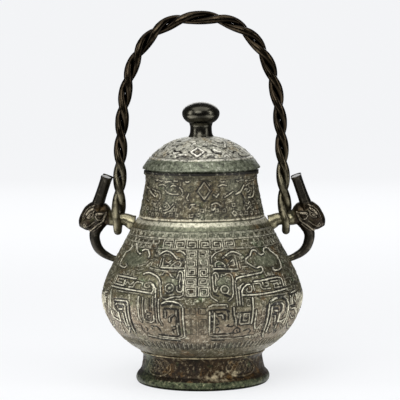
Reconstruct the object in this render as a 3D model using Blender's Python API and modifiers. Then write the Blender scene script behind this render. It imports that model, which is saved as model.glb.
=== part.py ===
# Lidded bronze wine vessel of the hu kind, with a rope-twist handle swinging between two beast-head lugs.
# Sizes are in metres, +Z is up, the front faces -Y and the handle turns about an axis along X.

import math

import bmesh
import bpy
from mathutils import Vector

# Foot ring
FOOT_HEIGHT = 0.0320
FOOT_WAIST_RADIUS = 0.0583
FOOT_FLARE = 0.0073
FOOT_LIP_HEIGHT = 0.0070
FOOT_LIP_ROUND = 0.0024
FOOT_BEAD_SWELL = 0.0032
FOOT_BEAD_HEIGHT = 0.0034
FOOT_BEAD_DROP = 0.0006
FLOOR_THICKNESS = 0.0035

# Body and neck: rises are stacked from the foot up, widths are set out from the neck's waist
WALL = 0.0030
BELLY_OVERHANG = 0.0032
BELLY_RADIUS = 0.0979
BELLY_RISE = 0.0530
SHOULDER_RISE = 0.0670
SHOULDER_WIDTH = 0.0068
SHOULDER_BAND = 0.0090
NECK_STEP = 0.0012
NECK_WAIST_RADIUS = 0.0544
NECK_FLARE = 0.0068
NECK_RISE = 0.0350
NECK_COLLAR = 0.0100
NECK_LIP_OVERHANG = 0.0015
NECK_LIP_DEPTH = 0.0036
NECK_LIP_SLOPE = 0.0008

# Lid, its flange inside the neck and its knob
LID_OVERHANG = 0.0016
LID_RIM_EDGE = 0.0008
LID_BAND_SETBACK = 0.0061
LID_BAND_HEIGHT = 0.0095
LID_DOME_HEIGHT = 0.0216
LID_WALL = 0.0026
LID_SEAT_GAP = 0.0003
LID_SHADOW_GAP = 0.0020
FLANGE_DEPTH = 0.0120
FLANGE_CLEARANCE = 0.0006
STEM_RADIUS = 0.0107
STEM_HEIGHT = 0.0105
KNOB_RADIUS = 0.0182
KNOB_HEIGHT = 0.0226

# Lugs: a pivot for the handle, a beast's head with two bottle horns, and a trunk back to the belly
HINGE_DROP = 0.0030
EYE_REACH = 0.0206
LUG_ROOT_RADIUS = 0.0076
LUG_ROOT_DROP = 0.0064
LUG_ROOT_REACH = 0.0018
PIVOT_RADIUS = 0.0067
PIVOT_HALF_LENGTH = 0.0053
HEAD_RADIUS = 0.0119
HEAD_LENGTH = 0.0343
HEAD_DROP = 0.0103
HORN_LENGTH = 0.0338
HORN_CAP_HEIGHT = 0.0018
HORN_CAP_RADIUS = 0.0050
HORN_WAIST_RADIUS = 0.0045
HORN_BASE_RADIUS = 0.0060
HORN_SPREAD = 0.0056
HORN_LEAN = math.radians(19)
HORN_SPLAY = math.radians(9)
TRUNK_RADIUS = 0.0050
TRUNK_TIP_RADIUS = 0.0031
TRUNK_SETOUT = 0.0228
TRUNK_DROP = 0.0385

# Handle: one wire folded round each pivot and twisted on itself
STRAND_RADIUS = 0.00325
STRAND_GAP = 0.0002
PIVOT_CLEARANCE = 0.0016
HANDLE_TOE = 0.0033
HANDLE_RISE = 0.1954
EYE_TAPER = 0.0165
HALF_TWIST = 0.0278

# Raised ornament
RELIEF_HEIGHT = 0.0011
RELIEF_ROOT = 0.0012
STROKE_WIDTH = 0.0032
STROKE_REACH = 0.0190
MASK_RISE = 0.0200
MASK_DROP = 0.0190
MASK_EYE = 0.0105
LOZENGE_RISE = 0.0275
LOZENGE_HEIGHT = 0.0170
LOZENGE_WIDTH = 0.0135
LID_LOZENGE_HEIGHT = 0.0085
LID_LOZENGE_WIDTH = 0.0145
LID_LOZENGE_RISE = 0.0090
ROUNDEL_HEIGHT = 0.0100
ROUNDEL_WIDTH = 0.0200
ROUNDEL_ANGLE = 42.0

# Heights and widths worked out from the sizes above
BELLY_HEIGHT = FOOT_HEIGHT + BELLY_RISE
SHOULDER_HEIGHT = BELLY_HEIGHT + SHOULDER_RISE
NECK_BASE_HEIGHT = SHOULDER_HEIGHT + SHOULDER_BAND
NECK_WAIST_HEIGHT = NECK_BASE_HEIGHT + NECK_RISE
NECK_HEIGHT = NECK_WAIST_HEIGHT + NECK_COLLAR
FOOT_LIP_RADIUS = FOOT_WAIST_RADIUS + FOOT_FLARE
FOOT_BEAD_RADIUS = FOOT_WAIST_RADIUS + FOOT_BEAD_SWELL
BELLY_FOOT_RADIUS = FOOT_WAIST_RADIUS + BELLY_OVERHANG
NECK_BASE_RADIUS = NECK_WAIST_RADIUS + NECK_FLARE
SHOULDER_RADIUS = NECK_BASE_RADIUS + SHOULDER_WIDTH
NECK_LIP_RADIUS = NECK_WAIST_RADIUS + NECK_LIP_OVERHANG
LID_RIM_RADIUS = NECK_LIP_RADIUS + LID_OVERHANG
LID_BAND_RADIUS = LID_RIM_RADIUS - LID_BAND_SETBACK
HINGE_HEIGHT = NECK_BASE_HEIGHT - HINGE_DROP
EYE_CENTRE = NECK_BASE_RADIUS + EYE_REACH
TRUNK_REACH = EYE_CENTRE + TRUNK_SETOUT
TRUNK_END_HEIGHT = HINGE_HEIGHT - TRUNK_DROP
HANDLE_HALF_SPAN = EYE_CENTRE - HANDLE_TOE
MASK_BOTTOM = FOOT_HEIGHT + MASK_RISE
MASK_TOP = SHOULDER_HEIGHT - MASK_DROP

# Mesh fineness
VESSEL_STEPS = 36
LID_STEPS = 24
HORN_STEPS = 8
MERGE = 0.00001

for old in list(bpy.data.objects):
    bpy.data.objects.remove(old, do_unlink=True)


def new_collection(name):
    collection = bpy.data.collections.new(name)
    bpy.context.scene.collection.children.link(collection)
    return collection


vessel_parts = new_collection("bronze_hu_vase")
cutters = new_collection("raised_work")


def bronze(name, colour, roughness, metallic):
    material = bpy.data.materials.new(name)
    material.use_nodes = True
    shader = material.node_tree.nodes["Principled BSDF"]
    shader.inputs["Base Color"].default_value = (*colour, 1.0)
    shader.inputs["Roughness"].default_value = roughness
    shader.inputs["Metallic"].default_value = metallic
    return material


def add_mesh(name, mesh, collection, material=None):
    mesh.name = name
    thing = bpy.data.objects.new(name, mesh)
    collection.objects.link(thing)
    if material:
        mesh.materials.append(material)
    return thing


# The outline of the pot

def lower_belly(share):
    """Radius and height from the foot (0) out to the widest ring (1)."""
    drop = 1.0 - share
    swell = (1.0 - drop ** 2) ** (1 / 1.2)
    return (BELLY_FOOT_RADIUS + (BELLY_RADIUS - BELLY_FOOT_RADIUS) * swell,
            FOOT_HEIGHT + (BELLY_HEIGHT - FOOT_HEIGHT) * share)


def upper_belly(share):
    """Radius and height from the widest ring (0) up to the shoulder (1)."""
    draw_in = share ** 1.6 + 0.58 * share ** 2 * (1.0 - share)
    return (BELLY_RADIUS - (BELLY_RADIUS - SHOULDER_RADIUS) * draw_in,
            BELLY_HEIGHT + (SHOULDER_HEIGHT - BELLY_HEIGHT) * share)


def neck(share):
    """Radius and height from the neck's foot (0) up to its waist (1)."""
    flare = (1.0 - share) ** 1.1
    return (NECK_WAIST_RADIUS + (NECK_BASE_RADIUS - NECK_WAIST_RADIUS) * flare,
            NECK_BASE_HEIGHT + (NECK_WAIST_HEIGHT - NECK_BASE_HEIGHT) * share)


def shell_outline(belly_steps, neck_steps):
    """The body's outer line without foot and mouldings, from the floor up to the lip."""
    line = [lower_belly(k / belly_steps) for k in range(belly_steps + 1)]
    line += [upper_belly(k / belly_steps) for k in range(1, belly_steps + 1)]
    line.append((NECK_BASE_RADIUS + NECK_STEP, NECK_BASE_HEIGHT - NECK_STEP * 0.5))
    line += [neck(k / neck_steps) for k in range(neck_steps + 1)]
    line.append((NECK_WAIST_RADIUS, NECK_HEIGHT - NECK_LIP_DEPTH))
    return line


def radius_at(height):
    """Outer radius of the body at a height between the foot and the lip."""
    line = shell_outline(24, 12)
    for (r0, z0), (r1, z1) in zip(line, line[1:]):
        if z0 <= height <= z1:
            return r0 + (r1 - r0) * (height - z0) / (z1 - z0)
    return line[-1][0]


def offset_inward(line, depth):
    """The line moved towards the inside of the pot by a wall's thickness."""
    moved = []
    for k, (radius, height) in enumerate(line):
        r0, z0 = line[max(k - 1, 0)]
        r1, z1 = line[min(k + 1, len(line) - 1)]
        along = Vector((r1 - r0, z1 - z0)).normalized()
        moved.append((radius - depth * along.y, height + depth * along.x))
    return moved


def foot_outline():
    bead_top = FOOT_HEIGHT - FOOT_BEAD_DROP
    bead_low = bead_top - FOOT_BEAD_HEIGHT
    wall = FOOT_LIP_RADIUS - FOOT_WAIST_RADIUS
    return [
        (FOOT_BEAD_RADIUS - FOOT_BEAD_DROP, bead_top),
        (FOOT_BEAD_RADIUS, bead_top - FOOT_BEAD_HEIGHT * 0.25),
        (FOOT_WAIST_RADIUS, bead_low),
        (FOOT_WAIST_RADIUS + wall * 0.30, FOOT_LIP_HEIGHT * 1.75),
        (FOOT_LIP_RADIUS - FOOT_LIP_ROUND * 0.2, FOOT_LIP_HEIGHT * 0.93),
        (FOOT_LIP_RADIUS, FOOT_LIP_HEIGHT * 0.58),
        (FOOT_LIP_RADIUS - FOOT_LIP_ROUND, 0.0),
        (FOOT_LIP_RADIUS - WALL * 1.9, 0.0),
        (FOOT_WAIST_RADIUS - WALL, FOOT_LIP_HEIGHT * 1.6),
        (FOOT_WAIST_RADIUS - WALL, FOOT_HEIGHT - FLOOR_THICKNESS),
        (0.0, FOOT_HEIGHT - FLOOR_THICKNESS),
    ]


def vessel_outline():
    """From the middle of the floor up the inside, over the lip and down the outside to the underside."""
    outer = shell_outline(5, 3)
    inner = offset_inward(shell_outline(4, 2), WALL)
    inside = [(0.0, FOOT_HEIGHT)] + [(r, z) for r, z in inner if z > FOOT_HEIGHT + WALL * 0.6]
    inside[-1] = (NECK_WAIST_RADIUS - WALL, NECK_HEIGHT)
    lip = [(NECK_LIP_RADIUS, NECK_HEIGHT),
           (NECK_LIP_RADIUS, NECK_HEIGHT - NECK_LIP_DEPTH),
           (NECK_WAIST_RADIUS, NECK_HEIGHT - NECK_LIP_DEPTH - NECK_LIP_SLOPE)]
    return inside + lip + outer[-2::-1] + foot_outline()


def lathe(name, outline, steps, collection, material=None):
    """A turned shape: the outline at +X carried once round the Z axis."""
    mesh = bpy.data.meshes.new(name)
    points = [(radius, 0.0, height) for radius, height in outline]
    mesh.from_pydata(points, [(k, k + 1) for k in range(len(points) - 1)], [])
    turned = add_mesh(name, mesh, collection, material)
    screw = turned.modifiers.new("turn", "SCREW")
    screw.steps = steps
    screw.render_steps = steps
    screw.use_merge_vertices = True
    screw.merge_threshold = MERGE
    return turned


# Raised strokes on a turned surface: points are (degrees from the front, height), mitred and wrapped round

def surface_frame(degrees, height, radius_of):
    """Point on the surface and the outward direction there."""
    angle = math.radians(degrees)
    radius = radius_of(height)
    rise = 0.0005
    slope = (radius_of(height + rise) - radius_of(height - rise)) / (2 * rise)
    out = Vector((math.sin(angle), -math.cos(angle), -slope)).normalized()
    return Vector((radius * math.sin(angle), -radius * math.cos(angle), height)), out


def subdivide(points, closed, radius_of, longest):
    """Extra points so that a stroke follows the round of the body."""
    ring = points + points[:1] if closed else points
    fine = [ring[0]]
    for (a0, z0), (a1, z1) in zip(ring, ring[1:]):
        across = math.radians(a1 - a0) * radius_of((z0 + z1) / 2)
        count = max(1, math.ceil(math.hypot(across, z1 - z0) / longest))
        fine += [(a0 + (a1 - a0) * k / count, z0 + (z1 - z0) * k / count) for k in range(1, count + 1)]
    return fine[:-1] if closed else fine


def stroke_edges(points, closed, width, radius_of):
    """The stroke's two mitred edges, in degrees and height."""
    left = []
    right = []
    count = len(points)
    for k, (angle, height) in enumerate(points):
        per_degree = math.radians(1) * radius_of(height)
        before = points[(k - 1) % count] if closed or k else None
        after = points[(k + 1) % count] if closed or k < count - 1 else None
        runs = []
        for start, end in ((before, (angle, height)), ((angle, height), after)):
            if start and end:
                runs.append(Vector(((end[0] - start[0]) * per_degree, end[1] - start[1])).normalized())
        along = (runs[0] + runs[-1]).normalized()
        side = Vector((-along.y, along.x))
        reach = width / 2 / max(0.5, along.dot(runs[0]))
        left.append((angle + side.x * reach / per_degree, height + side.y * reach))
        right.append((angle - side.x * reach / per_degree, height - side.y * reach))
    return left, right


def stroke(name, points, radius_of, width=STROKE_WIDTH, closed=False):
    """A raised bar with sloping sides, rooted in the wall."""
    points = subdivide(points, closed, radius_of, STROKE_REACH)
    wide = stroke_edges(points, closed, width, radius_of)
    narrow = stroke_edges(points, closed, width * 0.66, radius_of)
    shape = bmesh.new()
    rows = []
    for k in range(len(points)):
        row = []
        for (angle, height), lift in ((wide[0][k], -RELIEF_ROOT), (wide[1][k], -RELIEF_ROOT),
                                      (narrow[1][k], RELIEF_HEIGHT), (narrow[0][k], RELIEF_HEIGHT)):
            spot, out = surface_frame(angle, height, radius_of)
            row.append(shape.verts.new(spot + out * lift))
        rows.append(row)
    pairs = list(zip(rows, rows[1:] + rows[:1] if closed else rows[1:]))
    for near, far in pairs:
        for k in range(4):
            shape.faces.new((near[k], near[(k + 1) % 4], far[(k + 1) % 4], far[k]))
    if not closed:
        shape.faces.new(rows[0][::-1])
        shape.faces.new(rows[-1])
    bmesh.ops.recalc_face_normals(shape, faces=shape.faces)
    mesh = bpy.data.meshes.new(name)
    shape.to_mesh(mesh)
    shape.free()
    return add_mesh(name, mesh, cutters)


def ring_points(angle, height, width, tall, radius_of, sides=8):
    """An oval of points round a centre on the surface."""
    half = math.degrees(width / 2 / radius_of(height))
    return [(angle + half * math.cos(math.tau * (k + 0.5) / sides),
             height + tall / 2 * math.sin(math.tau * (k + 0.5) / sides)) for k in range(sides)]


def hook(left, right, bottom, top):
    """The outer turn of a square spiral: up, across and three quarters of the way down again."""
    return [(left, bottom), (left, top), (right, top), (right, bottom + (top - bottom) * 0.25)]


def mask_height(share):
    return MASK_BOTTOM + (MASK_TOP - MASK_BOTTOM) * share


def half_mask():
    """Half of the beast mask's main strokes, from the middle column outwards, as (points, closed)."""
    up = mask_height
    return [
        ([(8.2, up(0.0)), (8.2, up(1.0))], False),
        (ring_points(15.5, up(0.60), MASK_EYE, MASK_EYE, radius_at), True),
        (hook(26.5, 60.0, up(0.53), up(0.69)), False),
        (hook(24.0, 33.0, up(0.17), up(0.46)), False),
        (hook(42.5, 59.0, up(0.02), up(0.45)), False),
        ([(36.0, up(0.80)), (44.0, up(0.80)), (46.0, up(0.96)), (58.0, up(0.96)), (60.0, up(0.80))],
         False),
    ]


def half_mask_details():
    """What only the front carries: the lobe round the eye, the snout, the jaw and a panel at the side."""
    up = mask_height
    return [
        ([(11.5, up(0.76)), (20.0, up(0.76)), (21.6, up(0.50)), (12.0, up(0.48))], False),
        ([(11.5, up(0.84)), (25.0, up(0.84)), (20.0, up(0.98)), (11.5, up(0.97))], False),
        ([(13.0, up(0.22)), (19.5, up(0.22)), (19.5, up(0.42)), (12.0, up(0.42))], False),
        (hook(64.0, 78.0, up(0.06), up(0.46)), False),
    ]


def mirrored(points):
    return [(-angle, height) for angle, height in points]


def turned(points, degrees):
    return [(angle + degrees, height) for angle, height in points]


def lozenge(height, tall, wide, radius_of):
    half = math.degrees(wide / 2 / radius_of(height))
    return [(half, height), (0.0, height + tall / 2), (-half, height), (0.0, height - tall / 2)]


def vessel_ornament():
    """The mask and the neck's lozenge on the front and, with fewer strokes, on the back."""
    on_neck = lozenge(NECK_BASE_HEIGHT + LOZENGE_RISE, LOZENGE_HEIGHT, LOZENGE_WIDTH, radius_at)
    fuller_half = half_mask() + half_mask_details()
    for face, degrees, half in (("front", 0.0, fuller_half), ("back", 180.0, half_mask())):
        strokes = half + [(mirrored(points), closed) for points, closed in half] + [(on_neck, True)]
        for k, (points, closed) in enumerate(strokes):
            stroke(f"{face}_stroke_{k}", turned(points, degrees), radius_at, closed=closed)


def foot_radius_at(height):
    """Outer radius of the foot's plain wall."""
    share = (height - FOOT_LIP_HEIGHT) / (FOOT_HEIGHT - FOOT_LIP_HEIGHT)
    return FOOT_WAIST_RADIUS + (FOOT_LIP_RADIUS - FOOT_WAIST_RADIUS) * max(0.0, 1.0 - share * 1.6) ** 2


def foot_roundels():
    middle = FOOT_LIP_HEIGHT + (FOOT_HEIGHT - FOOT_LIP_HEIGHT) * 0.52
    for k in range(4):
        place = ROUNDEL_ANGLE * (1 if k % 2 else -1) + 180.0 * (k // 2)
        oval = ring_points(place, middle, ROUNDEL_WIDTH, ROUNDEL_HEIGHT, foot_radius_at)
        stroke(f"roundel_{k}", oval, foot_radius_at, width=STROKE_WIDTH * 0.8, closed=True)


# Lugs

def smooth_path(stations, steps):
    """Catmull-Rom curve through (x, y, z, radius) stations."""
    path = []
    ends = [stations[0]] + stations + [stations[-1]]
    for a, b, c, d in zip(ends, ends[1:], ends[2:], ends[3:]):
        for k in range(steps):
            t = k / steps
            path.append([0.5 * (2 * q + (r - p) * t + (2 * p - 5 * q + 4 * r - s) * t ** 2
                                + (3 * q - p - 3 * r + s) * t ** 3) for p, q, r, s in zip(a, b, c, d)])
    path.append(list(stations[-1]))
    return path


def curve_object(name, points, radii, depth, resolution, cyclic, origin=(0.0, 0.0, 0.0)):
    """A round tube along a list of points, each with its own share of the depth."""
    data = bpy.data.curves.new(name, "CURVE")
    data.dimensions = "3D"
    data.bevel_depth = depth
    data.bevel_resolution = resolution
    data.use_fill_caps = not cyclic
    spline = data.splines.new("POLY")
    spline.points.add(len(points) - 1)
    spline.use_cyclic_u = cyclic
    for spot, place, radius in zip(spline.points, points, radii):
        spot.co = (*(Vector(place) - Vector(origin)), 1.0)
        spot.radius = radius
    thing = bpy.data.objects.new(name, data)
    thing.location = origin
    return thing


def solid_tube(name, stations, steps, resolution):
    """A tapering tube through stations, as a closed mesh."""
    path = smooth_path(stations, steps)
    points = [station[:3] for station in path]
    girths = [station[3] / TRUNK_RADIUS for station in path]
    guide = curve_object(name + "_guide", points, girths, TRUNK_RADIUS, resolution, False)
    cutters.objects.link(guide)
    bpy.context.view_layer.update()
    mesh = bpy.data.meshes.new_from_object(guide.evaluated_get(bpy.context.evaluated_depsgraph_get()))
    shape = bmesh.new()
    shape.from_mesh(mesh)
    bmesh.ops.remove_doubles(shape, verts=shape.verts, dist=MERGE)
    bmesh.ops.recalc_face_normals(shape, faces=shape.faces)
    shape.to_mesh(mesh)
    shape.free()
    bpy.data.objects.remove(guide, do_unlink=True)
    return add_mesh(name, mesh, cutters)


def head_stations():
    """Root on the shoulder, the pivot for the handle, then the swelling head and drooping snout."""
    root, out = surface_frame(90.0, HINGE_HEIGHT - LUG_ROOT_DROP, radius_at)
    buried = root - out * WALL * 0.55
    clear = root + out * LUG_ROOT_REACH
    line = [(*buried, LUG_ROOT_RADIUS),
            (*clear, (LUG_ROOT_RADIUS * 2 + PIVOT_RADIUS) / 3),
            (EYE_CENTRE - PIVOT_HALF_LENGTH * 1.3, 0.0, HINGE_HEIGHT, PIVOT_RADIUS * 0.97),
            (EYE_CENTRE + PIVOT_HALF_LENGTH, 0.0, HINGE_HEIGHT, PIVOT_RADIUS)]
    swelling = ((0.30, 0.24, 0.71), (0.41, 0.45, 0.94), (0.52, 0.54, 1.0), (0.665, 0.54, 0.99),
                (0.826, 0.04, 0.815), (0.928, -0.54, 0.655), (0.985, -0.88, 0.38))
    for along, lift, girth in swelling:
        height = HINGE_HEIGHT + HEAD_DROP * lift
        line.append((EYE_CENTRE + HEAD_LENGTH * along, 0.0, height, HEAD_RADIUS * girth))
    return line


def trunk_stations():
    """From under the head down, round and back into the belly."""
    root, out = surface_frame(90.0, TRUNK_END_HEIGHT, radius_at)
    span = TRUNK_REACH - root.x
    line = []
    curl = ((0.34, 0.03, 1.5), (0.09, 0.21, 1.32), (0.01, 0.35, 1.08), (0.01, 0.50, 1.0), (0.13, 0.69, 0.94),
            (0.33, 0.82, 0.84), (0.60, 0.915, 0.74))
    for inward, down, girth in curl:
        height = HINGE_HEIGHT - TRUNK_DROP * down
        line.append((TRUNK_REACH - span * inward, 0.0, height, TRUNK_RADIUS * girth))
    line.append((*(root + out * WALL * 0.35), TRUNK_TIP_RADIUS))
    line.append((*(root - out * WALL * 0.55), TRUNK_TIP_RADIUS))
    return line


def horn(name, side):
    """A bottle horn: waisted, with a flared flat end, leaning in over the pot and away from its twin."""
    outline = [(0.0, HORN_LENGTH), (HORN_CAP_RADIUS, HORN_LENGTH),
               (HORN_CAP_RADIUS, HORN_LENGTH - HORN_CAP_HEIGHT),
               (HORN_WAIST_RADIUS, HORN_LENGTH * 0.76), (HORN_WAIST_RADIUS, HORN_LENGTH * 0.5),
               (HORN_BASE_RADIUS, 0.0), (0.0, 0.0)]
    bottle = lathe(name, outline, HORN_STEPS, cutters)
    bottle.location = (EYE_CENTRE + HEAD_LENGTH * 0.6, side * HORN_SPREAD,
                       HINGE_HEIGHT + HEAD_RADIUS * 0.92)
    bottle.rotation_euler = (-side * HORN_SPLAY, -HORN_LEAN, 0.0)
    return bottle


def lugs():
    """One lug united from its tubes and horns, then mirrored to the other side."""
    head = solid_tube("lugs", head_stations(), 1, 3)
    tools = [solid_tube("trunk", trunk_stations(), 1, 2), horn("horn_front", -1), horn("horn_back", 1)]
    for tool in tools:
        join = head.modifiers.new(tool.name, "BOOLEAN")
        join.operation = "UNION"
        join.object = tool
    pair = head.modifiers.new("other_side", "MIRROR")
    pair.use_axis = (True, False, False)
    pair.use_mirror_merge = False
    return head


# Handle

def arch_point(turn):
    """Centre line of the handle, from the left pivot (0) over the top to the right pivot (pi)."""
    rise = math.sin(turn) ** 0.5
    across = -math.copysign(HANDLE_HALF_SPAN * abs(math.cos(turn)) ** (1 / 1.18), math.cos(turn))
    toe = math.copysign(HANDLE_TOE * (1.0 - rise) ** 6, across)
    return Vector((across + toe, 0.0, HINGE_HEIGHT + HANDLE_RISE * rise))


def arch_samples(count=4000):
    """The centre line above both eyes, with its running length."""
    start = math.asin((EYE_TAPER / HANDLE_RISE) ** 2)
    line = [arch_point(start + (math.pi - 2 * start) * k / count) for k in range(count + 1)]
    lengths = [0.0]
    for a, b in zip(line, line[1:]):
        lengths.append(lengths[-1] + (b - a).length)
    return line, lengths


def strand(phase, half_turns, line, lengths, per_turn=4):
    """One of the two wires, winding left-handed round the centre line."""
    points = []
    total = half_turns * per_turn
    place = 0
    for k in range(total + 1):
        wanted = lengths[-1] * k / total
        while place < len(lengths) - 2 and lengths[place + 1] < wanted:
            place += 1
        along = (line[place + 1] - line[place]).normalized()
        inward = Vector((along.z, 0.0, -along.x))
        angle = phase - math.pi * half_turns * k / total
        share = (wanted - lengths[place]) / (lengths[place + 1] - lengths[place])
        spot = line[place].lerp(line[place + 1], share)
        reach = STRAND_RADIUS + STRAND_GAP / 2
        aside = Vector((0.0, reach * math.sin(angle), 0.0))
        points.append(spot + inward * (reach * math.cos(angle)) + aside)
    return points


def eye_leg(side, lean):
    """A wire opening out from the twist to the pivot's level; lean -1 is to the front, 1 to the back."""
    eye_radius = PIVOT_RADIUS + PIVOT_CLEARANCE + STRAND_RADIUS
    beside = lean * (STRAND_RADIUS + STRAND_GAP / 2)
    leg = []
    for opening in (0.25, 0.5, 0.75, 1.0):
        height = EYE_TAPER * (1.0 - opening)
        centre = arch_point(math.asin((height / HANDLE_RISE) ** 2))
        across = side * abs(centre.x) + beside * math.cos(math.pi / 2 * opening)
        depth = lean * eye_radius * math.sin(math.pi / 2 * opening)
        leg.append(Vector((across, depth, HINGE_HEIGHT + height)))
    return leg


def eye_bottom(side, lean, steps=4):
    """Half a ring under the pivot, from one leg to the other."""
    eye_radius = PIVOT_RADIUS + PIVOT_CLEARANCE + STRAND_RADIUS
    return [Vector((side * EYE_CENTRE, lean * eye_radius * math.cos(math.pi * k / steps),
                    HINGE_HEIGHT - eye_radius * math.sin(math.pi * k / steps))) for k in range(1, steps)]


def handle_wire():
    """The closed wire: over by one strand, round the right pivot, back by the other, round the left."""
    line, lengths = arch_samples()
    half_turns = round(lengths[-1] / HALF_TWIST)
    lean = -1 if half_turns % 2 else 1
    wire = strand(math.pi, half_turns, line, lengths)
    wire += eye_leg(1, lean) + eye_bottom(1, lean) + eye_leg(1, -lean)[::-1]
    wire += strand(0.0, half_turns, line, lengths)[::-1]
    wire += eye_leg(-1, 1) + eye_bottom(-1, 1) + eye_leg(-1, -1)[::-1]
    return wire


# Lid

def dome_height(radius):
    """Height of the dome over the neck's top at a distance from the middle."""
    foot = LID_SHADOW_GAP + LID_BAND_HEIGHT
    return foot + LID_DOME_HEIGHT * (1.0 - (radius / LID_BAND_RADIUS) ** 2.6)


def dome_radius_at(height):
    share = (height - NECK_HEIGHT - LID_SHADOW_GAP - LID_BAND_HEIGHT) / LID_DOME_HEIGHT
    return LID_BAND_RADIUS * max(0.02, 1.0 - max(0.0, share)) ** (1 / 2.6)


def lid_outline():
    """From the knob's top down the outside, under the rim, round the flange and back along the inside."""
    stem_top = dome_height(0.0) + STEM_HEIGHT
    knob_middle = stem_top + KNOB_HEIGHT / 2
    outline = [(0.0, knob_middle + KNOB_HEIGHT / 2)]
    for degrees in (62, 36, 12, -12, -34, -52):
        turn = math.radians(degrees)
        height = knob_middle + KNOB_HEIGHT / 2 * math.sin(turn)
        fullness = 1.0 if degrees > 0 else 0.8
        outline.append((KNOB_RADIUS * math.cos(turn) ** fullness, height))
    stem_foot = dome_height(STEM_RADIUS)
    outline += [(STEM_RADIUS, stem_top - STEM_HEIGHT * 0.05),
                (STEM_RADIUS, stem_foot + STEM_HEIGHT * 0.27),
                (STEM_RADIUS * 1.12, stem_foot)]
    dome = [LID_BAND_RADIUS * share for share in (0.5, 0.7, 0.86, 1.0)]
    outline += [(radius, dome_height(radius)) for radius in dome]
    flange = NECK_WAIST_RADIUS - WALL - FLANGE_CLEARANCE
    seat = (flange + NECK_LIP_RADIUS) / 2
    inner = flange - LID_WALL
    outline += [(LID_RIM_RADIUS, LID_SHADOW_GAP + LID_RIM_EDGE), (LID_RIM_RADIUS * 0.995, LID_SHADOW_GAP),
                (seat, LID_SHADOW_GAP), (seat, LID_SEAT_GAP), (flange, LID_SEAT_GAP),
                (flange, -FLANGE_DEPTH), (inner, -FLANGE_DEPTH)]
    hollow = [inner * share for share in (1.0, 0.84, 0.5, 0.0)]
    outline += [(radius, dome_height(radius) - LID_WALL * 1.15) for radius in hollow]
    return outline


def lid_ornament():
    middle = NECK_HEIGHT + LID_SHADOW_GAP + LID_BAND_HEIGHT + LID_LOZENGE_RISE
    tools = []
    for face, degrees in (("front", 0.0), ("back", 180.0)):
        shape = lozenge(middle, LID_LOZENGE_HEIGHT, LID_LOZENGE_WIDTH, dome_radius_at)
        tools.append(stroke(f"lid_lozenge_{face}", turned(shape, degrees), dome_radius_at, closed=True))
    return tools


def unite(body, tools, name):
    """Joins raised shapes to a body in one step."""
    raised = new_collection(name)
    for tool in tools:
        raised.objects.link(tool)
    join = body.modifiers.new(name, "BOOLEAN")
    join.operation = "UNION"
    join.operand_type = "COLLECTION"
    join.collection = raised


def main():
    grey_green = bronze("patinated_bronze_body", (0.150, 0.150, 0.115), 0.55, 0.75)
    pale = bronze("patinated_bronze_lid", (0.200, 0.190, 0.155), 0.55, 0.75)
    dark = bronze("dark_bronze_handle", (0.060, 0.050, 0.038), 0.45, 0.80)

    vessel = lathe("vessel", vessel_outline(), VESSEL_STEPS, vessel_parts, grey_green)
    vessel_ornament()
    foot_roundels()
    raised = list(cutters.objects)
    unite(vessel, raised + [lugs()], "vessel_raised")

    lid = lathe("lid", lid_outline(), LID_STEPS, vessel_parts, pale)
    lid.location = (0.0, 0.0, NECK_HEIGHT)
    unite(lid, lid_ornament(), "lid_raised")

    wire = handle_wire()
    axis = (0.0, 0.0, HINGE_HEIGHT)
    handle = curve_object("handle", wire, [1.0] * len(wire), STRAND_RADIUS, 1, True, axis)
    handle.data.materials.append(dark)
    vessel_parts.objects.link(handle)

    for tool in list(cutters.objects):
        tool.hide_render = True
        tool.display_type = "WIRE"
    bpy.context.view_layer.update()


main()
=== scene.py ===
import math

import bpy
import numpy as np
from mathutils import Matrix


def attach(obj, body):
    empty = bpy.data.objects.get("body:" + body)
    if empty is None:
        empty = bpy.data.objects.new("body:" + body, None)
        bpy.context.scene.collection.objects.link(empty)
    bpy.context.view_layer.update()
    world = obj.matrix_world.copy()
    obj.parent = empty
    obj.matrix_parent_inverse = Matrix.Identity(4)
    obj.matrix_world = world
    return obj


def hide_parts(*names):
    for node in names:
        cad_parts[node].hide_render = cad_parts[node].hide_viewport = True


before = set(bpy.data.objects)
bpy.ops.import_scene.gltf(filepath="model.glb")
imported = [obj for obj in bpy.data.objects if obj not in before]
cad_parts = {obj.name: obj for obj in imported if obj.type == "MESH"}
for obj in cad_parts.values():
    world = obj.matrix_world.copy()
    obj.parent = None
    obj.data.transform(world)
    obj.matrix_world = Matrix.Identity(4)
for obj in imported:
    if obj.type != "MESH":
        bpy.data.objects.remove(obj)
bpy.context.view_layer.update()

metre = 0.001
scene = bpy.context.scene


# Colour and material helpers

# sRGB hex to the linear colour that a shader takes
def hexColour(code):
    parts = [int(code[k:k + 2], 16) / 255 for k in (1, 3, 5)]
    linear = [c / 12.92 if c <= 0.04045 else ((c + 0.055) / 1.055) ** 2.4 for c in parts]
    return (*linear, 1.0)


# One node with its settings and its links: inputs maps a socket to a value or to another node's output
def addNode(tree, kind, inputs=(), **settings):
    node = tree.nodes.new(kind)
    for key, value in settings.items():
        setattr(node, key, value)
    for key, value in dict(inputs).items():
        if isinstance(value, bpy.types.NodeSocket):
            tree.links.new(value, node.inputs[key])
        else:
            node.inputs[key].default_value = value
    return node


# A blend of two colours by a factor; sockets 6 and 7 are the colours of a Mix node
def mixColours(tree, factor, first, second):
    return addNode(tree, "ShaderNodeMix", {0: factor, 6: first, 7: second}, data_type="RGBA").outputs[2]


# A value eased from 0 to 1 between two limits
def easeBetween(tree, value, low, high):
    node = addNode(tree, "ShaderNodeMapRange", {"Value": value, "From Min": low, "From Max": high},
                   interpolation_type="SMOOTHSTEP")
    return node.outputs["Result"]


# The value stored on the mesh under a name
def stored(tree, key):
    return addNode(tree, "ShaderNodeAttribute", attribute_name=key).outputs["Fac"]


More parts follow.
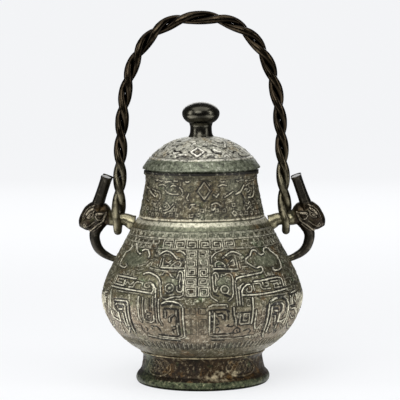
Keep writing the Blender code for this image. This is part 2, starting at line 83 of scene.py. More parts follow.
# The product of two values
def multiply(tree, first, second):
    return addNode(tree, "ShaderNodeMath", {0: first, 1: second}, operation="MULTIPLY").outputs[0]


# Cloudy noise on the object's own coordinates, whose blotches are sizeMm across
def blotches(tree, sizeMm, detail, roughness, shift=0.0):
    place = addNode(tree, "ShaderNodeTexCoord").outputs["Object"]
    moved = addNode(tree, "ShaderNodeMapping", {"Vector": place, "Location": (shift, shift * 0.7, -shift)})
    noise = addNode(tree, "ShaderNodeTexNoise",
                    {"Vector": moved.outputs[0], "Scale": 1000 / sizeMm / 2, "Detail": detail,
                     "Roughness": roughness})
    return noise.outputs["Fac"]


# Surface maths

# Eases from 0 to 1 with level ends: 3t squared less 2t cubed
def ease(value):
    t = np.clip(value, 0.0, 1.0)
    return t * t * (3 - 2 * t)


# Smooth random field in space: random values on a lattice of cell size, blended with eased weights
def lumps(places, cellMm, seed):
    table = np.random.default_rng(seed).random((32, 32, 32))
    spot = places / cellMm
    base = np.floor(spot).astype(int)
    part = ease(spot - base)
    total = np.zeros(spot.shape[:-1])
    for corner in range(8):
        step = np.array([corner & 1, corner >> 1 & 1, corner >> 2])
        weight = np.prod(np.where(step, part, 1 - part), axis=-1)
        cell = (base + step) % 32
        total += weight * table[cell[..., 0], cell[..., 1], cell[..., 2]]
    return total * 2 - 1


# A grid of points turned round the Z axis: r sin(angle), -r cos(angle), z
def turned(radius, height, degrees):
    angle = np.radians(degrees)
    return np.stack(np.broadcast_arrays(radius * np.sin(angle), -radius * np.cos(angle), height), -1)


# The skin of a line of radius and height, turned through all the angles
def turnedSkin(line, degrees):
    return turned(line[:, :1], line[:, 1:], degrees[None, :])


# Each row of an array made one long
def unit(rows):
    return rows / np.maximum(np.linalg.norm(rows, axis=1), 1e-9)[:, None]


# Outward normals of a line that rises on the outside
def lineNormals(line):
    along = np.gradient(line, axis=0)
    return unit(np.stack([along[:, 1], -along[:, 0]], -1))


# Running length along a line of points
def runningLength(line):
    return np.concatenate([[0.0], np.cumsum(np.linalg.norm(np.diff(line, axis=0), axis=1))])


# A line resampled to even steps along its length
def evenly(line, count):
    length = runningLength(line)
    wanted = np.linspace(0, length[-1], count)
    return np.stack([np.interp(wanted, length, line[:, k]) for k in range(line.shape[1])], -1)


# Numbers of a grid's points, counted from start; a closed grid gets its first column once more at its end
def numbered(grid, start=0, closed=True):
    numbers = start + np.arange(grid[..., 0].size).reshape(grid.shape[:2])
    return np.concatenate([numbers, numbers[:, :1]], 1) if closed else numbers


# Quads between neighbouring rows and columns of a grid of point numbers
def gridFaces(numbers):
    corners = [numbers[:-1, :-1], numbers[:-1, 1:], numbers[1:, 1:], numbers[1:, :-1]]
    return np.stack(corners, -1).reshape(-1, 4)


# Writes a mesh, points in millimetres, with smooth shading that breaks at sharp rims
def makePiece(name, points, faces, material, attributes=None, sharpDegrees=75):
    mesh = bpy.data.meshes.new(name)
    mesh.from_pydata((points * metre).tolist(), [], faces)
    mesh.validate()
    for key, values in (attributes or {}).items():
        layer = mesh.attributes.new(key, "FLOAT", "POINT")
        layer.data.foreach_set("value", np.asarray(values, np.float32).ravel())
    mesh.shade_smooth()
    mesh.set_sharp_from_angle(angle=math.radians(sharpDegrees))
    mesh.materials.append(material)
    piece = bpy.data.objects.new(name, mesh)
    scene.collection.objects.link(piece)
    return piece


# Raised and sunken strokes

strokeEase = 0.32  # mm over which the side of a stroke slopes
gutterWidth = 1.2  # mm of groove beside a raised stroke
gutterEase = 0.66  # mm over which that groove fades out


# Distance from places x, y to the nearest of the straight runs between points. Scale turns a step in x to mm.
def distanceTo(points, x, y, scale=1.0):
    nearest = np.full(np.broadcast_shapes(x.shape, y.shape), 99.0)
    for (x0, y0), (x1, y1) in zip(points, points[1:]):
        runX, runY = (x1 - x0) * scale, y1 - y0
        offX, offY = (x - x0) * scale, y - y0
        share = np.clip((offX * runX + offY * runY) / (runX ** 2 + runY ** 2 + 1e-9), 0, 1)
        nearest = np.minimum(nearest, np.hypot(offX - share * runX, offY - share * runY))
    return nearest


# Strokes on a grid of angle and path length: full within half a width, eased to none outside, with a groove
# beside each raised stroke. A stroke is (points as degrees and path length, width, height), and a height
# under nought is a cut line. Distances are in mm on the surface. Returns the lift, its mark and the grooves.
def drawStrokes(degrees, along, radii, strokes, fullHeight=0.6):
    shape = (len(along), len(degrees))
    lift, mark, halo, incised = np.zeros(shape), np.zeros(shape), np.zeros(shape), np.zeros(shape)
    perDegree = np.radians(np.maximum(radii, 1.0))
    for points, width, height in strokes:
        spots = np.asarray(points, float)
        reach = width / 2 + strokeEase
        far = reach + gutterWidth
        rows = np.flatnonzero((along > spots[:, 1].min() - far) & (along < spots[:, 1].max() + far))
        if not len(rows):
            continue
        spread = far / perDegree[rows].min()
        columns = np.flatnonzero((degrees > spots[:, 0].min() - spread)
                                 & (degrees < spots[:, 0].max() + spread))
        if not len(columns):
            continue
        nearest = distanceTo(spots, degrees[columns][None, :], along[rows][:, None], perDegree[rows][:, None])
        body = ease((reach - nearest) / (2 * strokeEase))
        spot = (slice(rows[0], rows[-1] + 1), slice(columns[0], columns[-1] + 1))
        if height < 0:
            incised[spot] = np.maximum(incised[spot], body)
            continue
        strength = min(1.0, height / fullHeight)
        lift[spot] = np.maximum(lift[spot], body * height)
        mark[spot] = np.maximum(mark[spot], body * strength)
        halo[spot] = np.maximum(halo[spot], ease((far - nearest) / gutterEase) * strength)
    groove = np.maximum(np.clip(halo - mark, 0, 1), incised)
    return lift * (1 - incised), mark * (1 - incised), groove


# Strokes in a mirror: each angle changes its sign
def mirrored(strokes):
    return [([(-a, s) for a, s in points], width, height) for points, width, height in strokes]


# Strokes turned round the axis by some degrees
def swung(strokes, turn):
    return [([(a + turn, s) for a, s in points], width, height) for points, width, height in strokes]


# A square spiral that winds inwards by a pitch in mm, from its lower left corner; flips turn it over
def squareSpiral(left, right, low, high, pitch, radius, flipX=False, flipY=False):
    step = math.degrees(pitch / radius)
    x0, x1, y0, y1 = left, right, low, high
    points = [(x0, y0)]
    while x1 - x0 > step * 0.8 and y1 - y0 > pitch * 0.8:
        points += [(x0, y1), (x1, y1), (x1, y0)]
        x0 += step
        points.append((x0, y0))
        y1 -= pitch
        x1 -= step
        y0 += pitch
        if x1 - x0 > step * 0.4 and y1 - y0 > 0:
            points.append((x0, y1 if y1 > y0 else y0))
    if flipX:
        points = [(left + right - a, s) for a, s in points]
    if flipY:
        points = [(a, low + high - s) for a, s in points]
    return points


# An elliptic arc round a centre, radii in degrees and mm
def arc(centre, half, tall, start, end, count=12):
    turns = [math.radians(start + (end - start) * k / count) for k in range(count + 1)]
    return [(centre[0] + half * math.cos(t), centre[1] + tall * math.sin(t)) for t in turns]


# The pot's outline, from the same sizes as the solid

pot = {
    "footHeight": 32.0, "footWaist": 58.3, "footFlare": 7.3, "bellyFoot": 61.5, "belly": 97.9,
    "bellyHeight": 85.0, "shoulder": 68.0, "shoulderHeight": 152.0, "neckBase": 61.2, "neckBaseHeight": 161.0,
    "neckStep": 1.2, "neckWaist": 54.4, "neckWaistHeight": 196.0, "lipRadius": 55.9, "lipDepth": 3.6,
    "height": 206.0, "wall": 3.0, "floor": 3.5,
    "skin": 0.5,  # how far the ground of the belly's relief lies under the solid's skin
}


# Lower belly: a quarter of a superellipse from the foot out to the widest ring
def lowerBelly(share):
    swell = (1 - (1 - share) ** 2) ** (1 / 1.2)
    return np.stack([pot["bellyFoot"] + (pot["belly"] - pot["bellyFoot"]) * swell,
                     pot["footHeight"] + (pot["bellyHeight"] - pot["footHeight"]) * share], -1)


# Upper belly: draws in with the 1.6th power of the height, fuller towards the shoulder
def upperBelly(share):
    drawIn = share ** 1.6 + 0.58 * share ** 2 * (1 - share)
    return np.stack([pot["belly"] - (pot["belly"] - pot["shoulder"]) * drawIn,
                     pot["bellyHeight"] + (pot["shoulderHeight"] - pot["bellyHeight"]) * share], -1)


# Lower and upper belly, then the small step in to the neck
def bellyLine():
    share = np.linspace(0, 1, 200)
    top = np.array([[pot["neckBase"] + pot["neckStep"], pot["neckBaseHeight"] - pot["neckStep"] / 2],
                    [pot["neckBase"], pot["neckBaseHeight"]]])
    return np.concatenate([lowerBelly(share), upperBelly(share)[1:], top])


# Neck: the radius draws in to the waist with the 1.1th power of the height that is left, and the lip stands
# out over it
def neckLine():
    share = np.linspace(0, 1, 80)[:, None]
    flare = (1 - share) ** 1.1
    rise = pot["neckWaistHeight"] - pot["neckBaseHeight"]
    wall = np.concatenate([pot["neckWaist"] + (pot["neckBase"] - pot["neckWaist"]) * flare,
                           pot["neckBaseHeight"] + rise * share], 1)
    under = pot["height"] - pot["lipDepth"]
    return np.concatenate([wall, [[pot["neckWaist"], under - 0.8], [pot["lipRadius"], under],
                                  [pot["lipRadius"], pot["height"]]]])


# A turned skin with each point moved along the line's own normal by the relief
def raisedSkin(line, degrees, relief):
    normal = lineNormals(line)
    radius, height = line[:, :1] + normal[:, :1] * relief, line[:, 1:] + normal[:, 1:] * relief
    return turned(radius, height, degrees[None, :])


# Closed wall between an outer and an inner line, turned through a range of angles.
# The outer points move outwards by relief; a part-turn gets a cap at each end.
def wallPiece(name, outer, inner, degrees, relief, material, attributes, whole=False):
    columns = len(degrees) - 1 if whole else len(degrees)
    outside = raisedSkin(outer, degrees[:columns], relief[:, :columns])
    inside = turnedSkin(inner, degrees[:columns])
    numbersOut = numbered(outside, closed=whole)
    numbersIn = numbered(inside, outside[..., 0].size, whole)
    low = np.stack([numbersIn[0], numbersOut[0]])
    high = np.stack([numbersOut[-1], numbersIn[-1]])
    faces = [gridFaces(numbersOut), gridFaces(numbersIn)[:, ::-1], gridFaces(low), gridFaces(high)]
    faces = np.concatenate(faces).tolist()
    if not whole:
        for column, turn in ((0, 1), (-1, -1)):
            cap = np.concatenate([numbersOut[:, column], numbersIn[::-1, column]])[::turn]
            faces.append(cap.tolist())
    points = np.concatenate([outside.reshape(-1, 3), inside.reshape(-1, 3)])
    filled = {key: np.concatenate([values[:, :columns].ravel(), np.zeros(inside[..., 0].size)])
              for key, values in attributes.items()}
    return makePiece(name, points, faces, material, filled)


# Belly ornament: the beast mask in raised lines with grooves beside them, and small square spirals around it

belly = {
    "frontGrid": (306, 300), "backGrid": (420, 200), "innerRows": 16,  # columns and rows of each outer skin
    "fine": (0.8, 0.32), "thread": (1.0, 0.45), "bold": (1.35, 0.6), "broad": (2.0, 0.6),  # width and height
    "cutSpread": 0.35,  # added to the width of each cut line, because its sides slope
    "scroll": (2.6, 0.26),  # size and height of the worn scrollwork
    "grooveDepth": 0.6, "seed": 21,
    "rollAt": 158.6, "scrollTop": 149, "siltAndReflectionTop": 91, "siltAndReflectionFoot": 43,  # heights in mm
    "columnRows": (136.5, 128.5, 121.3, 112.0, 104.3, 94.6),
    "faintRows": ((84.0, 78.4), (73.4, 66.0), (64.4, 58.0)), "cellGap": 1.1,
}
bellyPath = bellyLine()
bellyLength = runningLength(bellyPath)


# Path length up the belly at a height
def upBelly(height):
    return float(np.interp(height, bellyPath[:, 1], bellyLength))


# Points of degrees and height as points of degrees and path length
def onBelly(points):
    return [(a, upBelly(z)) for a, z in points]


# Raised lines of four kinds, each through points of degrees and height
def fine(*points):
    return (onBelly(points), *belly["fine"])


def thread(*points):
    return (onBelly(points), *belly["thread"])


def bold(*points):
    return (onBelly(points), *belly["bold"])


def broad(*points):
    return (onBelly(points), *belly["broad"])


# A line cut into the ground, as wide as it is told
def cut(width, *points):
    return (onBelly(points), width + belly["cutSpread"], -1)


# The points of a square spiral on the belly, whose pitch is in mm at its own height
def onSpiral(left, right, low, high, pitch, flipX, flipY):
    radius = float(np.interp((low + high) / 2, bellyPath[:, 1], bellyPath[:, 0]))
    return squareSpiral(left, right, low, high, pitch, radius, flipX, flipY)


# The same as a stroke of one kind of line
def spiralCell(left, right, low, high, pitch, line=thread, flipX=False, flipY=False):
    return line(*onSpiral(left, right, low, high, pitch, flipX, flipY))


# The middle column: pairs of square spirals between border lines, ruled off from each other. Below the last
# raised pair the spirals are only cut in faintly.
def middleColumn():
    edges, rows = (-8.3, 6.9), belly["columnRows"]
    strokes = [fine((edge, 96), (edge, 136)) for edge in edges]
    for k, (top, low) in enumerate(zip(rows, rows[1:])):
        low, high = low + belly["cellGap"], top - belly["cellGap"]
        strokes += [fine((edges[0], top), (edges[1], top)),
                    spiralCell(-7.3, -1.3, low, high, 1.6, flipX=k % 2 == 1, flipY=k % 3 == 2),
                    spiralCell(0.4, 5.8, low, high, 1.6, flipX=k % 3 == 0, flipY=k % 2 == 1)]
    for k, (top, low) in enumerate(belly["faintRows"]):
        for left, right in ((-7.4, -4.6), (-3.8, -1.2), (0.2, 4.4)):
            strokes.append(cut(0.75, *onSpiral(left, right, low, top, 2.0, k % 2 == 1, right < 0)))
    return strokes


# Face on the right half: snout, brow, eye in its lobes, and the lines that lead down from the brow
def rightFace():
    eye = (15.4, 101.0)
    return [
        thread((8.7, 125), (8.9, 130), (11.2, 133.2), (14.2, 134.8), (17.2, 136), (18.4, 138)),
        bold((16.4, 129), (18.2, 130.4), (20.4, 132.6), (22.8, 134.1), (25.2, 134.3), (27.6, 132.9),
             (30.2, 131)), fine((19.8, 130.2), (22.2, 131.4), (25, 131.2), (27.4, 129.6)),
        thread((10.9, 121.6), (10.9, 124.8), (13.2, 126.2), (15.6, 124.8), (17.6, 122.2), (12.8, 121.8)),
        fine((12.8, 123.4), (14.6, 124)),
        thread((19.2, 122.4), (21.2, 125), (23.6, 127.6), (24, 122.4), (21.4, 122)),
        bold((9.6, 119.3), (13, 119.6), (18, 119), (24.8, 118.6)), cut(1.3, (13.4, 122.7), (16.2, 122.5)),
        cut(1.3, (20.2, 123.9), (23, 125.2)), cut(1.5, (11, 117.6), (18, 117.3), (24, 117)),
        cut(1.8, (15.2, 96.2), (17.8, 94.6)), cut(1.6, (9, 97.2), (11.4, 95.4)),
        cut(1, (17, 132), (20, 127.6), (23, 130)), thread((25.6, 118.6), (25.6, 127.6)),
        thread((27.3, 119.4), (27.3, 125.4)), fine((28.6, 123), (33, 123)),
        fine((28.6, 120.4), (33.4, 120.6)), fine((28.8, 125.2), (31.6, 126)),
        fine((25.8, 116.6), (30.6, 116.8), (35.4, 115.6)), fine((26.6, 114.4), (31, 114.8)),
        thread(*arc(eye, 2.35, 3.5, 0, 360, 24)), fine(*arc(eye, 0.5, 0.8, 0, 360, 8)),
        thread((11.6, 110.4), (12.4, 113.2), (11.8, 115.8), (10.4, 116.5), (9.1, 115.4), (8.6, 112.6),
               (8.7, 102), (9.2, 99.4), (10.1, 98.9), (10.6, 100.6), (11.4, 103.2)),
        thread((10.4, 114.2), (10.8, 111.6), (10.2, 108.4), (10.4, 104.8)),
        thread((13.9, 112.6), (14.4, 114.8), (15.8, 113.6), (17.4, 115.2), (19.4, 115.3), (20.7, 113.3),
               (21, 109.4), (20.3, 104), (20.1, 97), (19.2, 93.4), (17.2, 91)),
        fine((16.8, 108.2), (17.8, 111), (19.2, 109.4)),
        thread((6.4, 98.4), (7.4, 94.6), (9.4, 92.2), (10.8, 90.6)),
        thread((22.2, 108.6), (21.9, 104), (21.9, 86)), thread((23.6, 102), (23.4, 86.4)),
        thread((25.1, 94.6), (25.1, 86)),
        bold((23, 109.2), (23.6, 110.8), (26, 111.6), (31, 112.5), (37, 113.3), (41.4, 113.9), (43.5, 115.4),
             (43.9, 117.6), (42.6, 119.3), (41, 118.9)),
    ]


# The horn on the right half: a C-shaped root, then a long bar with a key and square spirals
def rightHorn():
    return [
        bold((60, 96.6), (52, 96), (44, 95.2), (35, 94.8), (25.4, 95.1), (25.3, 98.6), (26.8, 102),
             (29.2, 104.4), (31, 104.4)), thread((24.2, 100.6), (25, 103.6), (27.2, 105.8)),
        thread((31.8, 104), (32, 100), (31.2, 97.8), (29.2, 97.6), (28.2, 99.2), (29, 100.8)),
        thread((33.4, 98.6), (33.3, 104.6), (37.2, 105), (38.4, 103.8), (38.5, 100.6), (39.8, 99.2),
               (45.6, 99.3)),
        bold((34.6, 106.6), (40, 107), (47, 107.9), (53.6, 108.1), (57, 107), (57.5, 104), (57.2, 99.4)),
        thread((40.4, 105.2), (40.3, 102.6), (41.8, 101.2), (44, 101.8), (44.6, 104.2), (42.6, 104.6)),
        thread((46.6, 105.2), (54.8, 105.2), (55, 101.6)),
        thread((55.2, 99.2), (48.8, 99.3), (48.6, 102.6), (52.4, 103), (52.6, 101.2)),
        fine((36, 92.4), (45, 92.8), (55, 92.4), (61, 92.6)), thread((59.8, 98.8), (59.9, 105), (60.4, 110)),
        fine((61.6, 99), (66, 99.6), (66.2, 103)), fine((61.4, 105), (66, 106), (69.6, 104.6)),
    ]


# The plain cloud-shaped field over the right horn: a scalloped upper edge with its ends turned in
def rightCloud():
    return [
        bold((41.4, 118.8), (39.4, 118.4), (37.2, 119.4), (35.4, 121.4), (33.8, 122.8), (32.5, 124.8),
             (33, 127), (35, 128.7), (37.4, 130), (38.8, 132.6), (40.4, 134.3), (42.4, 134.4), (44, 132.9),
             (45, 130.7), (46.8, 129.5), (49.4, 129.9), (50.8, 131.6)),
        bold((50.6, 132.4), (52.6, 134.8), (55.2, 135.4), (57.4, 134.2), (58.8, 131.4), (61.2, 129.2),
             (63.4, 126.8), (64.1, 122.6), (63.7, 118), (62.2, 115.4), (58.6, 114.2), (54.6, 114.3),
             (52.7, 115.4), (53.6, 117)), fine((60.6, 132.4), (64, 130.4), (68, 129.6)),
    ]


# Below on the right half: jaw frame, square spiral, the tall hooked panel and the next one round the side
def rightPanels():
    return [
        thread((5.8, 85.4), (8, 87.4), (15.8, 87.2), (16.2, 85.2)),
        cut(1.5, (6.6, 82), (15, 82.6), (17.4, 80.5)), bold((6.3, 61), (6.3, 80.6)),
        thread((9, 60), (9, 79.6)), cut(1.5, (7.6, 80), (7.6, 62)),
        cut(1.2, (10.4, 78.6), (13, 79.2), (15, 77), (15, 72)), cut(1.2, (16, 81), (17, 77), (16.8, 73)),
        cut(1.3, (9.8, 75), (11.2, 73), (11.6, 69), (10.4, 67.4)),
        cut(1.1, (9.6, 65.4), (11.6, 65), (12.6, 62), (11.6, 60.4)),
        cut(1.3, (19.1, 84), (19.2, 78), (20.4, 72), (21, 67.6), (19.4, 65.2), (16.4, 66.2), (17.2, 67.6)),
        cut(1.2, (9.5, 58.4), (20.6, 58.7)), cut(1.3, (8.4, 55.2), (17, 55.1)),
        cut(1.5, (8.4, 51.7), (16, 51.6)), cut(1.1, (20.5, 54.6), (28, 54.3), (32, 55.7)),
        cut(1.1, (20.6, 60.6), (21.4, 63), (23, 64.2), (24.6, 62.6), (25, 59.4), (21.8, 58), (20.6, 60.2)),
        cut(1, (22.6, 61.6), (23.2, 60)), cut(1.1, (27.4, 60.6), (30.6, 62), (32.2, 59.6), (31.2, 57.2)),
        bold((31.4, 92), (31.4, 67.4)), bold((33.6, 80), (33.7, 66), (34.8, 62)),
        thread((23.7, 77.6), (23.7, 69), (24.6, 67.7), (29.6, 67.9), (29.6, 77.6), (26, 77.6), (25.9, 71),
               (27.8, 70.8)), thread((6.3, 61), (6.6, 57.6), (9, 56.8), (20.4, 57)),
        thread((8.4, 53.6), (18.4, 53.6), (21, 52.9), (32, 54)),
        thread((19.9, 84), (20.1, 78), (21.4, 72), (22, 66)), thread((11.4, 77.2), (13.4, 77.6), (13.9, 74)),
        cut(1.2, (21.2, 78), (23, 78.9), (30.2, 78.6), (30.6, 66.6), (24.4, 66.3), (22.6, 67.6),
            (22.6, 76.6)), cut(1.2, (24.6, 76.6), (24.8, 70.4), (26, 69.3), (28.8, 69.6)),
        cut(1.2, (28.6, 76), (28.8, 72.6), (26.6, 73.2)),
        bold((44.2, 52), (42.9, 54.4), (42.3, 59), (42.3, 80), (42.7, 84.6)),
        bold((44.8, 56.6), (44.7, 80.6), (45.6, 83.2), (47.6, 84.2), (52.6, 84), (54.2, 82), (54.2, 76.8),
             (53.2, 73.6)),
        broad((43.6, 87), (47, 89.2), (51, 90.2), (54.8, 89), (57.6, 86.4), (59.3, 82.6), (59.8, 77),
              (59.9, 68), (58.4, 62.4)), broad((47.4, 77.8), (49.4, 77)), cut(1.3, (40.9, 84), (40.9, 58)),
        cut(1.5, (60.9, 92), (61, 68)),
        cut(1.8, (43.6, 57), (43.6, 82), (45.6, 83.6), (51, 83.7), (52.4, 80), (52.4, 76.6), (51, 75)),
        cut(1.4, (45.6, 79.6), (49.4, 80), (50.6, 77.8)),
        cut(1.6, (45.4, 74), (48.5, 74.6), (49.8, 72), (49.9, 66)),
        cut(2.4, (50, 90.3), (54, 88.7), (56.6, 86), (57.4, 80), (57.2, 73.6), (55.2, 70)),
        cut(1.3, (46.8, 72), (47.8, 70), (48, 67)), cut(1.4, (53, 63), (52.6, 57.4), (55, 55)),
        cut(1.2, (46.6, 63), (46.2, 58), (48, 54.6), (50, 55.6), (50.1, 62.4), (48.6, 63.6)),
        cut(1.5, (62.6, 90), (66, 90.6), (68.5, 88)), cut(1.5, (62, 79.4), (66.6, 79), (69.4, 80)),
        bold((47, 72.4), (48.4, 72.2), (48.8, 66)), broad((51.8, 74.6), (51.8, 66), (55.4, 65.6), (58, 67)),
        bold((51.6, 63), (52.2, 58.2), (54, 55)), thread((56, 61.6), (58.8, 59), (60, 56)),
        thread((36.4, 61.6), (38, 65.4), (39.8, 65.6)),
        bold((61.8, 60), (61.6, 88), (63.6, 91.8), (68.8, 92.4)),
        bold((63.8, 79), (63.6, 87), (65.6, 89.6), (69.4, 89), (70.6, 84.8), (68.6, 81.8), (66.2, 84.4)),
        broad((63.8, 76.4), (68.4, 76), (70.4, 72.6)), bold((64, 70), (67.4, 66.4), (71.6, 66)),
        bold((72.4, 90), (73, 70), (76.8, 62)), bold((76, 90.8), (76.8, 74), (80, 66)),
        spiralCell(78.8, 87.6, 72, 88, 2.2, bold), bold((64.4, 61.8), (70, 56), (78, 55)),
    ]


# Face on the left half, as degrees left of the front: drawn a little higher and wider out than the right one
def leftFace():
    eye = (16.9, 102.5)
    return [
        bold((9.2, 132.2), (10.8, 134.4), (13.2, 135.6), (15.2, 135)),
        thread((8, 129), (9.2, 127.6), (12, 128), (14.6, 129)), thread((4.6, 129), (7.4, 129), (8.8, 126)),
        bold((14.6, 128.4), (16.2, 130.2), (18.2, 132.6), (20.6, 134.6), (23.6, 135.2), (26.2, 133.6),
             (28.4, 131.4)), fine((17.6, 129.4), (20.4, 131.8), (23.6, 132.4), (25.6, 130.8)),
        thread((24.1, 128.6), (24.1, 121.6), (19.4, 121.8), (22.4, 124)),
        thread((22.6, 126.4), (20.2, 124.6), (18.4, 126.8)),
        thread((18.2, 121.6), (15.6, 125), (13.2, 126.4), (11.3, 124.6), (11.7, 121.8), (15.4, 121.8)),
        fine((13, 124), (14.8, 123.4)), cut(1.5, (10, 118.9), (17, 118.8), (24.2, 119)),
        cut(1.5, (22.6, 123.6), (19.6, 123.4)), cut(1.3, (15.2, 123), (12.6, 122.9)),
        cut(1.6, (13.4, 127.2), (9, 127.4)), cut(1.4, (15, 98), (19, 97.6)),
        bold((9.4, 120.3), (16, 120.2), (24.6, 120.4)),
        thread((8.6, 118.2), (18, 117.6), (25.6, 118), (33, 119.4)), thread((25.9, 121), (25.9, 128)),
        fine((27.6, 121.6), (28.2, 126.6), (31.6, 127.8), (34, 126.2)),
        fine((28.8, 123), (32, 124.4), (32.6, 121.6)), thread(*arc(eye, 2.5, 3.6, 0, 360, 24)),
        fine(*arc(eye, 0.5, 0.8, 0, 360, 8)),
        thread((13, 111.4), (12.4, 114), (12.4, 116.6), (11, 117.6), (9.8, 116.2), (9.4, 112), (8.8, 106),
               (8.9, 101), (9.6, 99.2), (11.4, 99.2), (12.4, 101), (12.3, 104)),
        thread((11.2, 114.6), (10.8, 110.6), (11.2, 107.6), (10.6, 103.4)),
        thread((15.2, 112.2), (16.7, 112.8), (17.8, 115.2), (19.8, 116.7), (21.9, 116.4), (22.6, 114)),
        thread((8.4, 97), (8.4, 126)),
        bold((36, 113.6), (34.4, 115), (32, 115.3), (29.8, 114.4), (26.8, 112.8), (24.6, 110.6),
             (23.3, 107.8)),
        thread((23.3, 107.8), (22.7, 104), (21.9, 98), (21.3, 94.6), (20, 92.6), (18, 92.1), (15.8, 93.6),
               (13, 94.8), (10.4, 94.6), (8.4, 96.4)), fine((24.8, 117), (28, 117), (31.2, 118)),
    ]


# The horn on the left half: the bar's lines bend down at its root and run on as the stem
def leftHorn():
    return [
        bold((30.4, 106.8), (27.4, 104.8), (25.6, 101.4), (24.8, 96.4), (24.7, 84)),
        bold((64, 98.7), (50, 98.7), (36, 98), (27.4, 96.9), (26.7, 99.4), (27.2, 103.4), (28.8, 105.2)),
        thread((23.2, 92), (23.2, 84)), thread((26.4, 94), (26.4, 84)),
        thread((28.6, 105.4), (30.8, 106.2), (33.2, 105.4), (33.4, 102.8), (31.6, 101.7), (29.6, 102.6),
               (30.2, 104)),
        thread((28.4, 99.8), (34.2, 100), (35.1, 101.6), (34.9, 105.8), (39.4, 106.2), (40.9, 104.4),
               (41.4, 101.2), (45.4, 100.9)),
        thread((42.2, 106.2), (43.8, 103.2), (45.6, 103.2), (46.8, 105.2), (48.4, 104.4), (48.7, 102.4)),
        bold((41, 108.6), (50, 109.2), (60.4, 109.2), (60.4, 101.6), (50.2, 101.3), (50.2, 106.2)),
        thread((52, 106.6), (57.8, 106.6), (57.8, 103.8), (53.4, 103.6)),
        fine((36, 95.6), (45, 96), (56, 95.8)), thread((62.4, 100), (62.6, 109)),
        fine((64, 101), (68, 101.6), (68, 105.6)),
    ]


# The left cloud, worn flatter: its scallops show only in part
def leftCloud():
    return [
        bold((36.4, 128.4), (36.2, 130.2), (37.7, 132.8), (39.6, 135.2), (42.2, 135.2), (44.6, 134)),
        bold((45.6, 130.8), (47.6, 131.6), (49.6, 132.6), (51.2, 134.4), (53, 137), (54.8, 139.4)),
        bold((58.4, 136.6), (59.8, 133), (62, 131.2), (64.7, 130.6), (65.3, 125), (65.1, 120.2), (63.8, 118),
             (60, 117.1), (55.6, 117), (54.5, 118.6), (56.2, 120)),
        fine((35, 126.6), (37, 122.6), (40.8, 120.4), (44, 119.8)),
        fine((37.6, 118.2), (41.4, 116.6), (45.2, 117.4)), fine((38.4, 114.8), (42.8, 113.4), (47, 114.6)),
    ]


